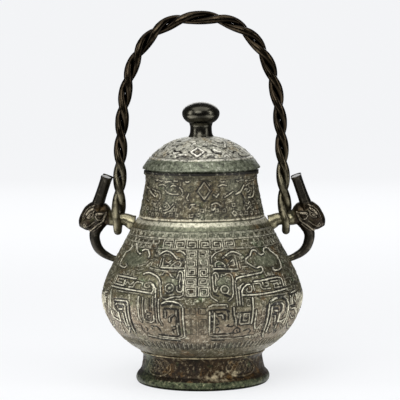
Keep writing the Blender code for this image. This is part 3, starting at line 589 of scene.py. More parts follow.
# Below on the left half: the same parts as on the right, where they stand there
def leftPanels():
    return [
        bold((9.2, 86.8), (11.4, 89.2), (14.6, 90.4), (18, 90.2), (20.6, 88)),
        cut(2, (11, 87.2), (14, 88), (18, 87.9), (20.2, 86.4)), cut(1.7, (12, 83.3), (18.8, 83.4)),
        bold((8.4, 56), (8.4, 84)), thread((12.2, 58), (12.2, 82)),
        thread((8.4, 56), (10.4, 54.2), (18, 54.8), (25, 55.4)), thread((12, 52.8), (25, 53.6), (33, 55.6)),
        thread((32.9, 93), (32.9, 72.6), (31.4, 69.8), (28, 69), (26, 70.6), (25.8, 76)),
        thread((31, 91), (31, 79.4), (30.6, 75), (29.2, 74.6)), thread((22.6, 92), (22.6, 72), (21.2, 67)),
        thread((18.6, 81), (18.6, 75)), thread((14.2, 77), (16.3, 74.4), (16.4, 71)),
        cut(1.2, (10.9, 83), (10.9, 57.4), (13.4, 55.8), (18, 56.6), (25, 57.2)),
        cut(1.1, (19.5, 82), (19.7, 74.5)), cut(1, (17.4, 80), (18, 76.4)),
        cut(1.2, (13, 77.5), (15.3, 74.6), (15.4, 71.4)),
        cut(1.2, (12.6, 76), (12, 71), (13.2, 66.2), (15.4, 65.6)),
        cut(1.1, (13, 64), (15.4, 62.6), (14.6, 59.8)), cut(1.7, (33, 54), (26, 52.2), (20, 51.4), (12, 51)),
        cut(1.1, (23.3, 92), (23.4, 72), (22, 68)), cut(1.1, (25, 92), (25, 68.4)),
        cut(1, (27, 92), (27, 80.4)), cut(1, (28.3, 92), (28.3, 80.6)), cut(1, (32.2, 91), (32.2, 73)),
        cut(1.2, (33.7, 93), (33.7, 70)), fine((29.9, 92), (29.9, 81)), fine((26, 92), (26, 80)),
        cut(1.1, (27, 78), (29.5, 78.8), (31.4, 76.6), (31.6, 73), (29.8, 70.6), (27.4, 71.4)),
        cut(1, (28.4, 76), (30, 76), (30, 73.6), (28.4, 73.2)), fine((24.1, 92), (24.1, 69)),
        cut(1.3, (23, 60.5), (23.6, 63), (25, 65.2), (28.6, 65.2), (28.2, 62.6)),
        cut(1.1, (35.6, 64.6), (36, 60), (34.4, 58)), cut(1.1, (33.2, 64), (31.6, 62), (32.6, 60)),
        bold((35.9, 93), (35.9, 72.4), (34.6, 69)),
        thread((31.9, 77.6), (31.7, 74.4), (29.8, 73.2), (28.3, 74.6), (28.5, 76.8), (30.2, 77.2)),
        bold((43.9, 56), (43.9, 86), (45.2, 87.6), (50, 87.4), (57.4, 86.2)),
        bold((46.4, 63), (46.4, 81.6), (47.6, 84), (53.6, 84.2), (54.8, 82.6)),
        broad((49.4, 79), (52, 78.6)), cut(1.6, (57, 85.3), (46.4, 85.6), (45.2, 84), (45.2, 57)),
        cut(1.6, (56, 84), (55.6, 80), (53.6, 77.5)), cut(1.5, (52.3, 75), (52.3, 68), (50.4, 67.6)),
        cut(1.5, (47.8, 75), (47.8, 62)), cut(1.3, (42.5, 84), (42.5, 58)),
        cut(1.4, (48, 81.6), (52.6, 81.6)), bold((57.4, 84), (57.6, 78), (55.2, 75.4)),
        bold((49.2, 75), (49.2, 62)), broad((53.6, 74.8), (53.4, 66.2), (58, 67.6), (60.8, 69)),
        broad((62.2, 92), (62.2, 74), (61.2, 68)), bold((59.8, 75.4), (58.6, 73.4)),
        bold((46.6, 60.8), (49.6, 56), (51.2, 60), (51.6, 64)), bold((55, 64), (55.2, 57.6), (56.6, 54)),
        thread((58.2, 61), (60.6, 57.4)), thread((38, 60.6), (39.4, 64.6), (41.4, 64.4)),
        bold((64.6, 90), (64.8, 76), (67.4, 72)), bold((68.4, 92), (72.6, 91), (74, 86), (74, 74), (77, 64)),
        bold((68, 87), (70.8, 86.4), (71, 80), (68.6, 78)), bold((64, 64), (69, 58), (78, 56)),
        spiralCell(77.6, 86.8, 72, 89, 2.2, bold),
    ]


# Border of square spirals under the shoulder, small ones over it and at its sides, and ticks above the foot
def borders():
    strokes = [thread((-90, 145.9), (90, 145.9)), thread((-32, 137.1), (-9, 137.1)),
               thread((9, 137.1), (34, 137.1)), fine((-90, 151.6), (90, 151.6))]
    for k in range(-2, 4):
        strokes.append(spiralCell(9.3 * k - 8.6, 9.3 * k - 0.9, 138.4, 144.8, 2.0, flipX=k % 2 == 0))
    for k in range(-13, 13):
        left, right = 6.9 * k + 0.4, 6.9 * k + 6.2
        strokes.append(spiralCell(left, right, 147.0, 150.6, 1.6, fine, k % 2 == 1, k % 3 == 0))
    for side in (-1, 1):
        for row, (low, high) in enumerate(((136.8, 140.6), (141.4, 144.6))):
            for k in range(10):
                left = side * (35.6 + 5.5 * k) - 2.4 + 1.3 * row
                strokes.append(spiralCell(left, left + 4.9, low, high, 1.7, fine, k % 2 == row, k % 3 == row))
    for k in range(58):
        middle = -88.5 + 3.1 * k
        strokes += [cut(0.5, (middle - 0.5, 41.6), (middle - 0.6, 47.6)),
                    fine((middle + 0.8, 43.2), (middle + 0.7, 48.6))]
    return strokes


# Small hooks that fill the ground between the larger forms; a field is left, right, low, high and a count
def groundHooks():
    strokes = []
    dice = np.random.default_rng(11)
    fields = ((34.8, 41, 52, 90, 17), (66, 88, 92, 112, 20), (66, 88, 112, 136, 26), (27, 32, 127, 137, 5),
              (44, 60, 110.6, 113.4, 5), (32, 41, 45, 60, 6), (27, 30, 83, 92, 2), (60, 66, 93, 98, 2))
    for side in (-1, 1):
        for left, right, low, high, count in fields:
            least, most = (left + 1, low + 1.4, 0.8, -1), (right - 1, high - 1.4, 1.4, 1)
            for a, z, tall, flip in dice.uniform(least, most, (count, 4)):
                tall *= math.copysign(1, flip)
                strokes.append(fine((side * (a - 1.1), z - tall), (side * (a - 0.9), z + tall),
                                    (side * (a + 0.8), z + tall * 0.9), (side * (a + 0.9), z - tall * 0.2)))
    return strokes


# The back repeats the right half's mask on both sides, without the small hooks
def bellyStrokes(back):
    right = rightFace() + rightHorn() + rightCloud() + rightPanels()
    left = leftFace() + leftHorn() + leftCloud() + leftPanels()
    common = middleColumn() + borders() + right
    return swung(common + mirrored(right), 180) if back else common + groundHooks() + mirrored(left)


# How much of the relief is left, 1 for all of it: large soft patches, and least low in the middle
def wear(degrees, places, seed):
    z = places[..., 2]
    patchy = lumps(places, 26.0, seed) * 0.5 + lumps(places, 9.0, seed + 1) * 0.5
    middle = np.exp(-((degrees[None, :] + 1) / 9.0) ** 2) * ease((97 - z) / 12) * ease((z - 40) / 6)
    return np.clip(0.94 + 0.30 * patchy - 0.42 * middle, 0.25, 1.1)


# Tooling marks and corrosion: a fine unevenness over the whole skin
def castSkin(places, seed):
    coarse = 0.20 * lumps(places, 2.6, seed) + 0.14 * lumps(places, 1.2, seed + 3)
    return coarse + 0.14 * lumps(places, 14.0, seed + 5)


# Worn scrollwork too fine to read: thin lines where a smooth random field passes through nought
def scrollGround(places, cellMm, seed):
    lines = ease(1 - np.abs(lumps(places, cellMm, seed)) / 0.15)
    return lines * ease(0.7 + lumps(places, cellMm * 4, seed + 1))


# Grey-green tint of the shoulder, the clouds and the eye lobes, alike on both sides of the front or the back
def bellyTint(degrees, line):
    a, z = np.abs(degrees[None, :]), line[:, 1:]
    shoulder = ease((z - 140) / 12) * ease((62 - a) / 30)
    cloud = np.exp(-(((a - 50) / 13) ** 2 + ((z - 125) / 7) ** 2) ** 2)
    lobe = np.exp(-(((a - 15.5) / 5) ** 2 + ((z - 107) / 9) ** 2) ** 2)
    return np.clip(np.maximum(np.maximum(shoulder, cloud * 0.9), lobe * 0.7), 0, 1)


# One part of the belly between two angles. The relief fades out at the foot and at the neck, the roll of the
# shoulder gets a painted highlight, and the lower half is painted pale, part silt and part painted reflection
# of the pale floor.
def bellyPiece(name, start, end, columns, rows, strokes):
    seed = belly["seed"]
    outer = evenly(bellyPath, rows)
    along = np.linspace(0, bellyLength[-1], rows)
    inner = evenly(bellyPath - pot["wall"] * lineNormals(bellyPath), belly["innerRows"])
    inner[0] = (pot["bellyFoot"] - pot["wall"], pot["footHeight"])
    inner[-1] = (pot["neckBase"] - pot["wall"], pot["neckBaseHeight"])
    degrees = np.linspace(start, end, columns)
    places = turnedSkin(outer, degrees)
    z = outer[:, 1:]
    lift, mark, groove = drawStrokes(degrees, along, outer[:, 0], strokes)
    level = (ease(along / 1.5) * ease((along[-1] - along) / 1.5))[:, None]
    worn = wear(degrees, places, seed) * level
    tint = bellyTint((degrees + 180) % 360 - 180, outer)
    size, height = belly["scroll"]
    scroll = scrollGround(places, size, seed + 7) * np.clip(1 - mark - groove, 0, 1) * (1 - 0.8 * tint)
    scroll = scroll * ease((belly["scrollTop"] - z) / 4)
    relief = (lift - belly["grooveDepth"] * groove) * worn + height * scroll
    relief += castSkin(places, seed) * level - pot["skin"]
    # Painted highlight: a bright band along the roll of the shoulder, counted in with the worn raised lines
    paintedRollHighlight = 0.7 * np.exp(-(((z - belly["rollAt"]) / 2.4) ** 2) ** 2)
    # Pale lower half: part silt, part painted reflection of the pale floor, fading out just above the foot
    pale = ease((belly["siltAndReflectionTop"] - z) / 16) * (0.70 + 0.6 * lumps(places, 15.0, seed + 11))
    pale *= 0.25 + 0.75 * ease((z - belly["siltAndReflectionFoot"]) / 10)
    # sunk: grooves beside the raised lines and cut lines, darkened in the finish as grime and painted shade
    marks = {"pale": np.clip(pale, 0, 1), "raised": np.clip(mark * worn + 0.6 * scroll + paintedRollHighlight, 0, 1),
             "sunk": np.clip(1.2 * groove * worn, 0, 1), "tint": tint + 0.15 * lumps(places, 11.0, seed + 9)}
    return wallPiece(name, outer, inner, degrees, relief, finishes["belly"], marks)


# Neck ornament: a cut lozenge among worn curls, and small hooks in a belt at its foot

neck = {
    "rows": 88, "columns": 420, "innerRows": 6,
    "thread": (1.1, 0.34), "bold": (1.6, 0.42),  # width and height
    "lozenge": (7.6, 10.2), "lozengeAt": (5.0, 189.8), "plainTop": 6.2,
    "scroll": (2.7, 0.3), "grooveDepth": 0.45, "skin": 0.3, "footLine": 162.0,
}
neckPath = neckLine()
# The lowest row is tucked in, which leaves a groove at the foot of the neck
neckPath[0] = (pot["neckBase"] - 1.1, pot["neckBaseHeight"] - 0.9)
neckLength = runningLength(neckPath)


# Path length up the neck at a height, and points of degrees and height turned into degrees and path length
def upNeck(height):
    return float(np.interp(height, neckPath[:, 1], neckLength))


def onNeck(points):
    return [(a, upNeck(z)) for a, z in points]


# Raised lines of two kinds on the neck, through points of degrees and height, and a cut one
def neckThread(*points, share=1.0):
    width, height = neck["thread"]
    return (onNeck(points), width * share, height * share)


def neckBold(*points):
    return (onNeck(points), *neck["bold"])


def neckCut(*points, width=1.5):
    return (onNeck(points), width, -1)


# A closed lozenge, half its width in degrees and half its height in mm
def lozengeLine(centre, half, tall):
    a, s = centre
    return [(a + half, s), (a, s + tall), (a - half, s), (a, s - tall), (a + half, s)]


# How far out each place lies in a lozenge: nought at its centre and one on its line
def lozengeShare(degrees, along, centre, half, tall):
    return np.abs(degrees[None, :] - centre[0]) / half + np.abs(along[:, None] - centre[1]) / tall


# Curls as they stand left and right of the lozenge, none repeated
def neckCurls():
    return [
        neckBold((-61, 188.5), (-55, 185.6), (-50, 183.6)), neckThread((-56, 190), (-49, 188.6)),
        neckThread((-47, 188.6), (-44, 188), (-42.6, 186), (-41.6, 183.5), (-42.6, 181.4)),
        neckThread((-65, 180), (-60, 178.4)), neckCut((-72, 196), (-65, 193.4)),
        neckCut((-75, 187), (-68, 185.4)), neckBold((-70, 191.4), (-66, 190.4)),
        neckThread((-36, 190), (-33, 187.6), (-28, 186.6), (-21, 186.6)),
        neckThread((-20, 193), (-17.5, 191), (-16, 188), (-17, 186)),
        neckThread((-10, 187), (-12, 183), (-10.5, 181)),
        neckThread((-36, 171), (-31, 172), (-27, 176), (-25.5, 177.6)),
        neckThread((-34, 168.5), (-28, 171), (-24, 175.4)), neckThread((-34, 179), (-31, 177), (-29, 174.6)),
        neckThread((-9, 175), (-8, 177), (-4, 177.4)), neckThread((-53, 178), (-49, 176), (-46, 177.6)),
        neckThread((-30, 193.6), (-27, 195), (-24, 194)), neckThread((-46, 194.4), (-40, 195.4), (-36, 194)),
        neckThread((25, 183.5), (28, 185), (32, 187), (35, 188.6)),
        neckBold((38, 186), (43, 187.5), (46, 189.5), (49, 192.5), (50.5, 193.6)),
        neckThread((53, 193), (57, 194.5), (62, 195.2)), neckThread((50, 189.5), (53, 190.6), (56, 189.6)),
        neckThread((58, 192.5), (59.5, 190), (58, 187.6), (55, 187)),
        neckThread((59.5, 186), (58, 184), (55.5, 184.6)),
        neckBold((54, 182), (60, 181.6), (64, 183.5), (66.5, 187), (67.6, 191), (69, 195.5)),
        neckCut((45.4, 185.6), (48, 181), (47.4, 177), width=2.4),
        neckCut((61.4, 193), (65.4, 192), width=1.8),
        neckThread((12, 177), (15, 178.6), (18, 178), (20, 176)), neckBold((13, 171.8), (14.8, 173.6)),
        neckThread((50, 171), (54, 173.4)), neckThread((52, 176), (55, 178)),
        neckThread(*arc((34, 168.4), 2.0, 2.0, 0, 330, 12)), neckThread((20, 194), (24, 195.6), (28, 194.4)),
        neckThread((5, 200.4), (10.6, 194.4)), neckThread((14, 186), (17, 184), (19, 186.6)),
        neckThread((78, 190), (84, 187), (88, 190)), neckThread((74, 178), (80, 176), (85, 178.6)),
        neckThread((-88, 180), (-83, 183), (-79, 180.6)),
    ]


# Small hooks in uneven rows, and short wavy strokes under the lip
def neckGround():
    dice = np.random.default_rng(29)
    strokes = []
    hook = ((-1.6, -1), (-1.4, 1), (1.3, 1), (1.4, -1), (-0.2, -0.8))
    for row, z in enumerate((167.2, 171.6, 176.0)):
        for k in range(52):
            if dice.random() < 0.30 + 0.16 * row:
                continue
            a = -180 + 6.92 * k + 3 * (row % 2) + dice.uniform(-0.8, 0.8)
            tall = 1.4 * dice.choice((-1, 1))
            level = z + dice.uniform(-0.6, 0.6)
            strokes.append(neckThread(*((a + aside, level + tall * up) for aside, up in hook), share=0.8))
    for k in range(60):
        a = -180 + 6 * k + dice.uniform(-1.4, 1.4)
        z = dice.uniform(197.6, 201.6)
        strokes.append(neckThread((a - 2.0, z), (a, z + dice.uniform(-0.9, 0.9)), (a + 2.0, z)))
    return strokes


# Strokes repeated a full turn away on both sides, so that none is cut off at the seam
def around(strokes):
    return strokes + swung(strokes, 360) + swung(strokes, -360)


# Foot: bead, concave wall with scaly oval roundels, and a rounded lip

foot = {
    "columns": 460, "outerRows": 56, "roundels": ((-44.5, 15.4), (42.0, 17.5)), "tall": 8.4, "middle": 20.2,
    "skin": 0.3, "crustAt": (20, 14), "crustSize": (20, 5),  # degrees and height of the pale crust
}


# Wall of the foot, from the underside of the floor down the recess, round the lip and up the outside
def footLine():
    waist, lip, top = pot["footWaist"], pot["footWaist"] + pot["footFlare"], pot["footHeight"]
    recess = waist - pot["wall"]
    under = top - pot["floor"]
    hidden = np.array([[0, under], [recess * 0.5, under], [recess, under], [recess, 18], [recess, 12.2],
                       [lip - 5.6, 0], [lip - 2.6, 0]])
    outside = np.array([[lip - 1.6, 0.5], [lip - 0.7, 1.6], [lip - 0.2, 3.0], [lip, 4.4], [lip - 0.4, 6.4],
                        [lip - 1.4, 8.3], [lip - 2.9, 10.2], [lip - 4.6, 11.9], [waist + 1.9, 14.0],
                        [waist + 1.2, 17.5], [waist + 0.6, 21.0], [waist + 0.2, 24.0], [waist + 0.1, 26.6],
                        [waist + 0.7, 27.8], [waist + 1.5, 28.7], [waist + 1.6, 29.3],
                        [waist + 2.8, 29.9], [waist + 3.1, 30.8], [waist + 2.4, 31.5],
                        [pot["bellyFoot"] - 0.75, top]])
    inside = np.array([[pot["bellyFoot"] - pot["wall"], top], [30, top], [0, top]])
    return np.concatenate([hidden, evenly(outside, foot["outerRows"]), inside])


# Raised rim of each oval and rows of scales inside it
def roundelStrokes(along):
    strokes = []
    for turn, half in foot["roundels"]:
        middle = (turn, along(foot["middle"]))
        strokes.append((arc(middle, half, foot["tall"], 0, 360, 36), 1.5, 0.36))
        for row in range(4):
            for k in range(-3, 4):
                spot = (middle[0] + 4.4 * k + (2.2 if row % 2 else 0), middle[1] - 5.6 + 3.0 * row)
                aside, above = (spot[0] - middle[0]) / half, (spot[1] + 1.2 - middle[1]) / foot["tall"]
                if aside ** 2 + above ** 2 < 0.72:
                    strokes.append((arc(spot, 1.9, 2.4, 10, 170, 8), 0.8, 0.4))
    return strokes


# A closed turned surface from axis to axis, with relief; a point on the axis closes each end with a fan
def turnedPiece(name, line, degrees, relief, material, attributes):
    middle = raisedSkin(line, degrees[:-1], relief[:, :-1])[1:-1]
    numbers = numbered(middle)
    first = np.full(numbers.shape[1] - 1, middle[..., 0].size)
    fans = [np.stack([first, numbers[0, 1:], numbers[0, :-1]], -1),
            np.stack([numbers[-1, :-1], numbers[-1, 1:], first + 1], -1)]
    faces = gridFaces(numbers).tolist() + np.concatenate(fans).tolist()
    points = np.concatenate([middle.reshape(-1, 3), [[0, 0, line[0, 1]], [0, 0, line[-1, 1]]]])
    filled = {key: np.concatenate([values[1:-1, :-1].ravel(), [0, 0]]) for key, values in attributes.items()}
    return makePiece(name, points, faces, material, filled, sharpDegrees=60)


# Lid: a domed cover with scattered low strokes, a plain sloping band and the flange inside the neck

lid = {
    "top": pot["height"], "shadowGap": 2.0, "bandHeight": 9.5, "bandRadius": 51.4, "dome": 21.6,
    "rim": 57.3, "seat": 53.1, "flange": 50.8, "flangeDepth": 12.0, "wall": 2.6, "columns": 400,
    "domeRows": 92, "skin": 0.3,
    "domeFoot": 50.2,  # radius at which the dome's strokes end and the band begins
    "lozengeAt": (-2.4, 42.0), "plain": (9.6, 7.6),  # no other strokes in the plain lozenge
    "outerCut": (11.6, 8.3), "raisedRim": (8.5, 6.1), "innerCut": (5.4, 3.9),
}


# Dome height: falls from the middle with the 2.6th power of the radius
def domeHeight(radius):
    start = lid["top"] + lid["shadowGap"] + lid["bandHeight"]
    return start + lid["dome"] * (1 - (np.asarray(radius, float) / lid["bandRadius"]) ** 2.6)


# The lid from the axis on its inside, down and round the flange, up the band and over the dome to the axis.
# Also returns the number of the first row outside.
def lidLine():
    inner = lid["flange"] - lid["wall"]
    under = inner * np.array([0, 0.3, 0.5, 0.7, 0.85, 0.94, 1.0])
    inside = np.stack([under, domeHeight(under) - lid["wall"] * 1.15], -1)
    top, rim, seat = lid["top"], lid["rim"], lid["seat"]
    low, gap = top - lid["flangeDepth"], top + lid["shadowGap"]
    flange = np.array([[inner, low], [lid["flange"], low], [lid["flange"], top + 0.3], [seat, top + 0.3],
                       [seat, gap], [rim - 0.3, gap]])
    edge = np.array([[rim, gap + 0.3], [rim, gap + 1.2], [rim - 0.6, gap + 2.0]])
    band = np.array([[52.6, top + 10.0], [51.9, top + 10.9], [51.2, top + 11.1], [50.9, top + 11.7]])
    band = np.concatenate([edge, evenly(np.array([edge[-1], band[0]]), 10)[1:-1], band])
    radius = np.linspace(50.7, 0, 400)
    dome = evenly(np.stack([radius, domeHeight(radius)], -1), lid["domeRows"])
    return np.concatenate([inside, flange, band, dome]), len(inside) + len(flange)


# Strokes on the dome as degrees and radius: short bars, arcs and dots, most of them cut, with light edges.
# The front is as it stands; two more turns of it go round the back.
def lidStrokes(along):
    def light(*points, width=1.4):
        return ([(a, along(r)) for a, r in points], width, 0.36)

    def dark(*points, width=1.9):
        return ([(a, along(r)) for a, r in points], width + 0.5, -1)

    front = [
        light((-13, 34), (-12, 31), (-8, 30)), dark((6, 34.6), (12, 34.6)), light((6, 32.6), (12, 32.6)),
        dark((-58, 27.5), (-45, 27.5), width=2.2), dark((-52, 35.2), (-38, 34.6), width=1.7),
        light((-52, 37.2), (-40, 36.6)), dark((-35, 32), (-31, 33)), dark((-24.6, 38), (-23.4, 38)),
        dark((-38, 40), (-34, 42), (-28, 41), (-24, 43)), light((-38, 42.2), (-34, 44), (-28, 43)),
        dark((-27, 47.6), (-22, 46.6), (-16, 47)), light((-27, 45.4), (-21, 44.6), (-16, 45)),
        dark((-67.4, 41), (-66.6, 41), width=1.8), dark((-68.4, 45), (-67.6, 45), width=1.8),
        dark((-46.4, 44), (-45.6, 44), width=1.7), dark((-42.4, 45.2), (-41.6, 45.2)),
        dark((-36.4, 46.6), (-35.6, 46.6)), dark((-9.4, 47), (-8.6, 47), width=1.5),
        dark((2.6, 47), (3.4, 47), width=1.5),
        dark((9, 48.2), (12, 47), (17, 47.4), (18.4, 48.6), width=1.2),
        light((9.6, 45.6), (13, 45), (17.4, 45.6)), light((19.4, 39.2), (24, 41.6), (28.4, 42.4), width=1.9),
        dark((17, 40), (18, 42.4), (22, 43.9), (27.6, 44.6)), dark((22, 33), (27, 35)),
        dark((33, 28), (40, 30), (45, 31), width=1.8), dark((36, 38), (41, 38.6)),
        light((50, 30), (45, 34), (42, 36.2), width=1.6), light((30, 49), (32, 46.4), (35, 46), (37, 48)),
        dark((46, 44.4), (50, 42.6), (54, 43), (55.4, 45.2), width=1.6),
        dark((62, 37), (66, 40), (68, 41), width=1.6), dark((54, 46.6), (58, 48.4)),
        light((57, 31), (63, 33.6)), light((-66, 34), (-60, 31.6)), light((-22, 26), (-15, 27.6), (-10, 26)),
        light((14, 27), (20, 25.4)),
    ]
    return around(front + swung(front, 133) + swung(front, 231))


# Knob: a smooth drop on a short stem; its radius follows cos(t), to the power 0.8 under the middle

knob = {"radius": 18.2, "height": 22.6, "stemHeight": 10.5, "columns": 96}


# Stem, then the drop from its underside to its top
def knobLine():
    base = float(domeHeight(0.0))
    stemTop = base + knob["stemHeight"]
    t = np.radians(np.linspace(-56, 90, 44))
    girth = knob["radius"] * np.cos(t) ** np.where(t > 0, 1.0, 0.8)
    ball = np.stack([girth, stemTop + knob["height"] / 2 * (1 + np.sin(t))], -1)
    ball[-1, 0] = 0
    stem = np.array([[0, base - 2.2], [12.3, base - 2.2], [12.2, base - 0.4], [11.4, base + 1.0],
                     [10.8, base + 2.6], [10.5, base + 5.5], [10.5, base + 9.0]])
    return np.concatenate([stem, ball])


# Lugs: a stem out of the shoulder, a beast's head with two horns, and a trunk that curls back to the belly

lug = {
    "pivot": (81.8, 158.0), "rootRadius": 7.7, "rootDrop": 3.6, "rootReach": 1.8, "pivotRadius": 6.7,
    "headRadius": 11.9, "headLength": 34.3, "headDrop": 10.3, "hornLength": 33.8, "hornSpread": 5.6,
    "hornLean": 19.0, "hornSplay": 9.0, "trunk": 5.0, "trunkTip": 3.1, "trunkReach": 22.8, "trunkDrop": 38.5,
    "voxel": 0.56, "strokeHeight": 0.55, "inset": 0.4, "grooveWidth": 2.2, "grooveDepth": 0.25,
}


# Catmull-Rom curve through stations of x, y, z and radius, all spans at once
def throughStations(stations, steps):
    stations = np.asarray(stations, float)
    ends = np.concatenate([stations[:1], stations, stations[-1:]])
    p, q, r, s = ends[:-3, None], ends[1:-2, None], ends[2:-1, None], ends[3:, None]
    t = (np.arange(steps) / steps)[None, :, None]
    bend, twist = 2 * p - 5 * q + 4 * r - s, 3 * q - p - 3 * r + s
    line = 0.5 * (2 * q + (r - p) * t + bend * t ** 2 + twist * t ** 3)
    return np.concatenate([line.reshape(-1, 4), stations[-1:]])


# A tube along a path in the XZ plane: its rings stand square to the path, and wide is their stretch in Y
def tubeShell(path, sides, wide=1.0):
    along = unit(np.gradient(path[:, :3], axis=0))
    up = np.stack([-along[:, 2], np.zeros(len(path)), along[:, 0]], -1)
    turn = np.linspace(0, 2 * np.pi, sides, endpoint=False)[None, :, None]
    ring = wide * np.cos(turn) * np.array([0, 1, 0]) + np.sin(turn) * up[:, None, :]
    return path[:, None, :3] + path[:, None, 3:] * ring


# Bottle horn: base, waist and a flared flat cap, ribbed lengthwise, leaning in and away from its twin
def hornShell(side):
    share = np.array([0, 0.10, 0.25, 0.45, 0.65, 0.82, 0.92, 0.945, 0.96, 0.985, 1.0])
    girth = np.array([6.2, 5.8, 5.4, 5.1, 4.95, 4.9, 4.95, 5.15, 5.3, 5.3, 5.1])
    level = np.linspace(0, 1, 60)
    turn = np.linspace(0, 2 * np.pi, 48, endpoint=False)
    ribs = -0.42 * (0.5 - 0.5 * np.cos(6 * turn)) ** 2
    radius = np.interp(level, share, girth)[:, None] + ribs * ease((0.93 - level) / 0.04)[:, None]
    grid = np.stack(np.broadcast_arrays(radius * np.cos(turn), radius * np.sin(turn),
                                        (level * lug["hornLength"])[:, None]), -1)
    splay, lean = math.radians(-side * lug["hornSplay"]), math.radians(-lug["hornLean"])
    aboutX = np.array([[1, 0, 0], [0, math.cos(splay), -math.sin(splay)],
                       [0, math.sin(splay), math.cos(splay)]])
    aboutY = np.array([[math.cos(lean), 0, math.sin(lean)], [0, 1, 0],
                       [-math.sin(lean), 0, math.cos(lean)]])
    root = np.array([lug["pivot"][0] + lug["headLength"] * 0.6, side * lug["hornSpread"],
                     lug["pivot"][1] + lug["headRadius"] * 0.92])
    return grid @ (aboutY @ aboutX).T + root


# Radius of the upper belly at a height
def skinRadius(height):
    return float(np.interp(height, bellyPath[100:, 1], bellyPath[100:, 0]))


# Each row is how far out and up from the pivot, in head lengths and drops, and the girth in head radii
def headStations():
    x, z = lug["pivot"]
    low = z - lug["rootDrop"]
    body, root, pivot = skinRadius(low), lug["rootRadius"], lug["pivotRadius"]
    stations = [(body - 1.6, 0, low, root), (body + lug["rootReach"], 0, low + 0.8, root),
                (x - 6.9, 0, z, pivot * 0.97), (x + 5.3, 0, z, pivot)]
    for out, up, girth in ((0.30, 0.24, 0.71), (0.41, 0.45, 0.94), (0.52, 0.54, 1.0), (0.665, 0.54, 0.99),
                           (0.826, 0.04, 0.815), (0.928, -0.54, 0.655), (0.985, -0.88, 0.38)):
        stations.append((x + lug["headLength"] * out, 0, z + lug["headDrop"] * up, lug["headRadius"] * girth))
    return stations


# Each row is how far in from the trunk's reach, how far down, and the girth in trunk radii
def trunkStations():
    x, z = lug["pivot"]
    reach, drop = x + lug["trunkReach"], lug["trunkDrop"]
    end = z - drop
    body = skinRadius(end)
    span = reach - body
    stations = []
    for inward, down, girth in ((0.34, 0.03, 1.5), (0.09, 0.21, 1.32), (0.01, 0.35, 1.08), (0.01, 0.50, 1.0),
                                (0.13, 0.69, 0.94), (0.33, 0.82, 0.84), (0.60, 0.915, 0.74)):
        stations.append((reach - span * inward, 0, z - drop * down, lug["trunk"] * girth))
    stations += [(body + 0.8, 0, end, lug["trunkTip"]), (body - 1.8, 0, end, lug["trunkTip"])]
    return stations


# Jaw, ear, eye, brow and nostril as seen from the side, in mm from the pivot
def headStrokes():
    def leaf(*points):
        return points + points[:1]
    return [
        ([(10.0, 7.4), (11.0, 4.4), (13.6, -1.6), (19.4, -5.0), (25.6, -9.8), (30.6, -12.6)], 1.5, 1.0),
        ([(15.4, -5.2), (20.4, -9), (26.2, -13)], 1.1, 0.7),
        (leaf((10.6, 7.0), (14.4, 6.4), (19.0, 5.8), (21, 3.6), (19, 0.4), (15.4, -0.4), (12.6, 2.4)),
         1.0, 0.9),
        ([(14.0, 6.2), (20.0, 6.0)], 1.9, 1.0),
        ([(23.6, 11.2), (27, 9.2), (29.8, 6.0)], 2.0, 1.0),
        (leaf((22.4, 8.4), (26.4, 6.2), (29.4, 2.6), (26.6, 2.0), (23.4, 4.4)), 0.9, 0.8),
        ([(26, 4.6), (26.8, 3.9)], 1.4, 0.9),
        ([(21, 15.2), (26.6, 13.0), (31.0, 8.6), (33.6, 3.4)], 1.0, 0.8),
        ([(22, -2.2), (26.4, -5.4), (30.6, -7.0)], 1.0, 0.7),
        (leaf((32.4, -3.4), (33.4, -5.4), (32.0, -7.6), (30.8, -5.4)), 0.8, 0.7),
    ]


# Height of strokes at loose points: the nearest distance to each line, eased at its sides
def strokesAt(u, v, strokes):
    field = np.zeros(len(u))
    for points, width, height in strokes:
        inside = width / 2 + strokeEase - distanceTo(points, u, v)
        field = np.maximum(field, height * ease(inside / (2 * strokeEase)))
    return field


# Several capped shells as one list of points and faces
def joinShells(shells):
    points, faces, start = [], [], 0
    for grid in shells:
        numbers = numbered(grid, start)
        start += grid[..., 0].size
        faces += gridFaces(numbers).tolist() + [numbers[0, -2::-1].tolist(), numbers[-1, :-1].tolist()]
        points.append(grid.reshape(-1, 3))
    return np.concatenate(points), faces


# The shells fused into one skin by a voxel remesh and a light smoothing, returned as arrays in mm
def fuse(shells, voxelMm, smoothings):
    points, faces = joinShells(shells)
    piece = makePiece("fusing", points, faces, finishes["head"])
    remesh = piece.modifiers.new("fuse", "REMESH")
    remesh.mode = "VOXEL"
    remesh.voxel_size = voxelMm * metre
    smooth = piece.modifiers.new("smooth", "SMOOTH")
    smooth.factor = 0.5
    smooth.iterations = smoothings
    bpy.context.view_layer.update()
    mesh = bpy.data.meshes.new_from_object(piece.evaluated_get(bpy.context.evaluated_depsgraph_get()))
    spots = np.empty(len(mesh.vertices) * 3)
    mesh.vertices.foreach_get("co", spots)
    outward = np.empty(len(mesh.vertices) * 3)
    mesh.vertices.foreach_get("normal", outward)
    polygons = [list(face.vertices) for face in mesh.polygons]
    bpy.data.objects.remove(piece, do_unlink=True)
    return spots.reshape(-1, 3) / metre, outward.reshape(-1, 3), polygons


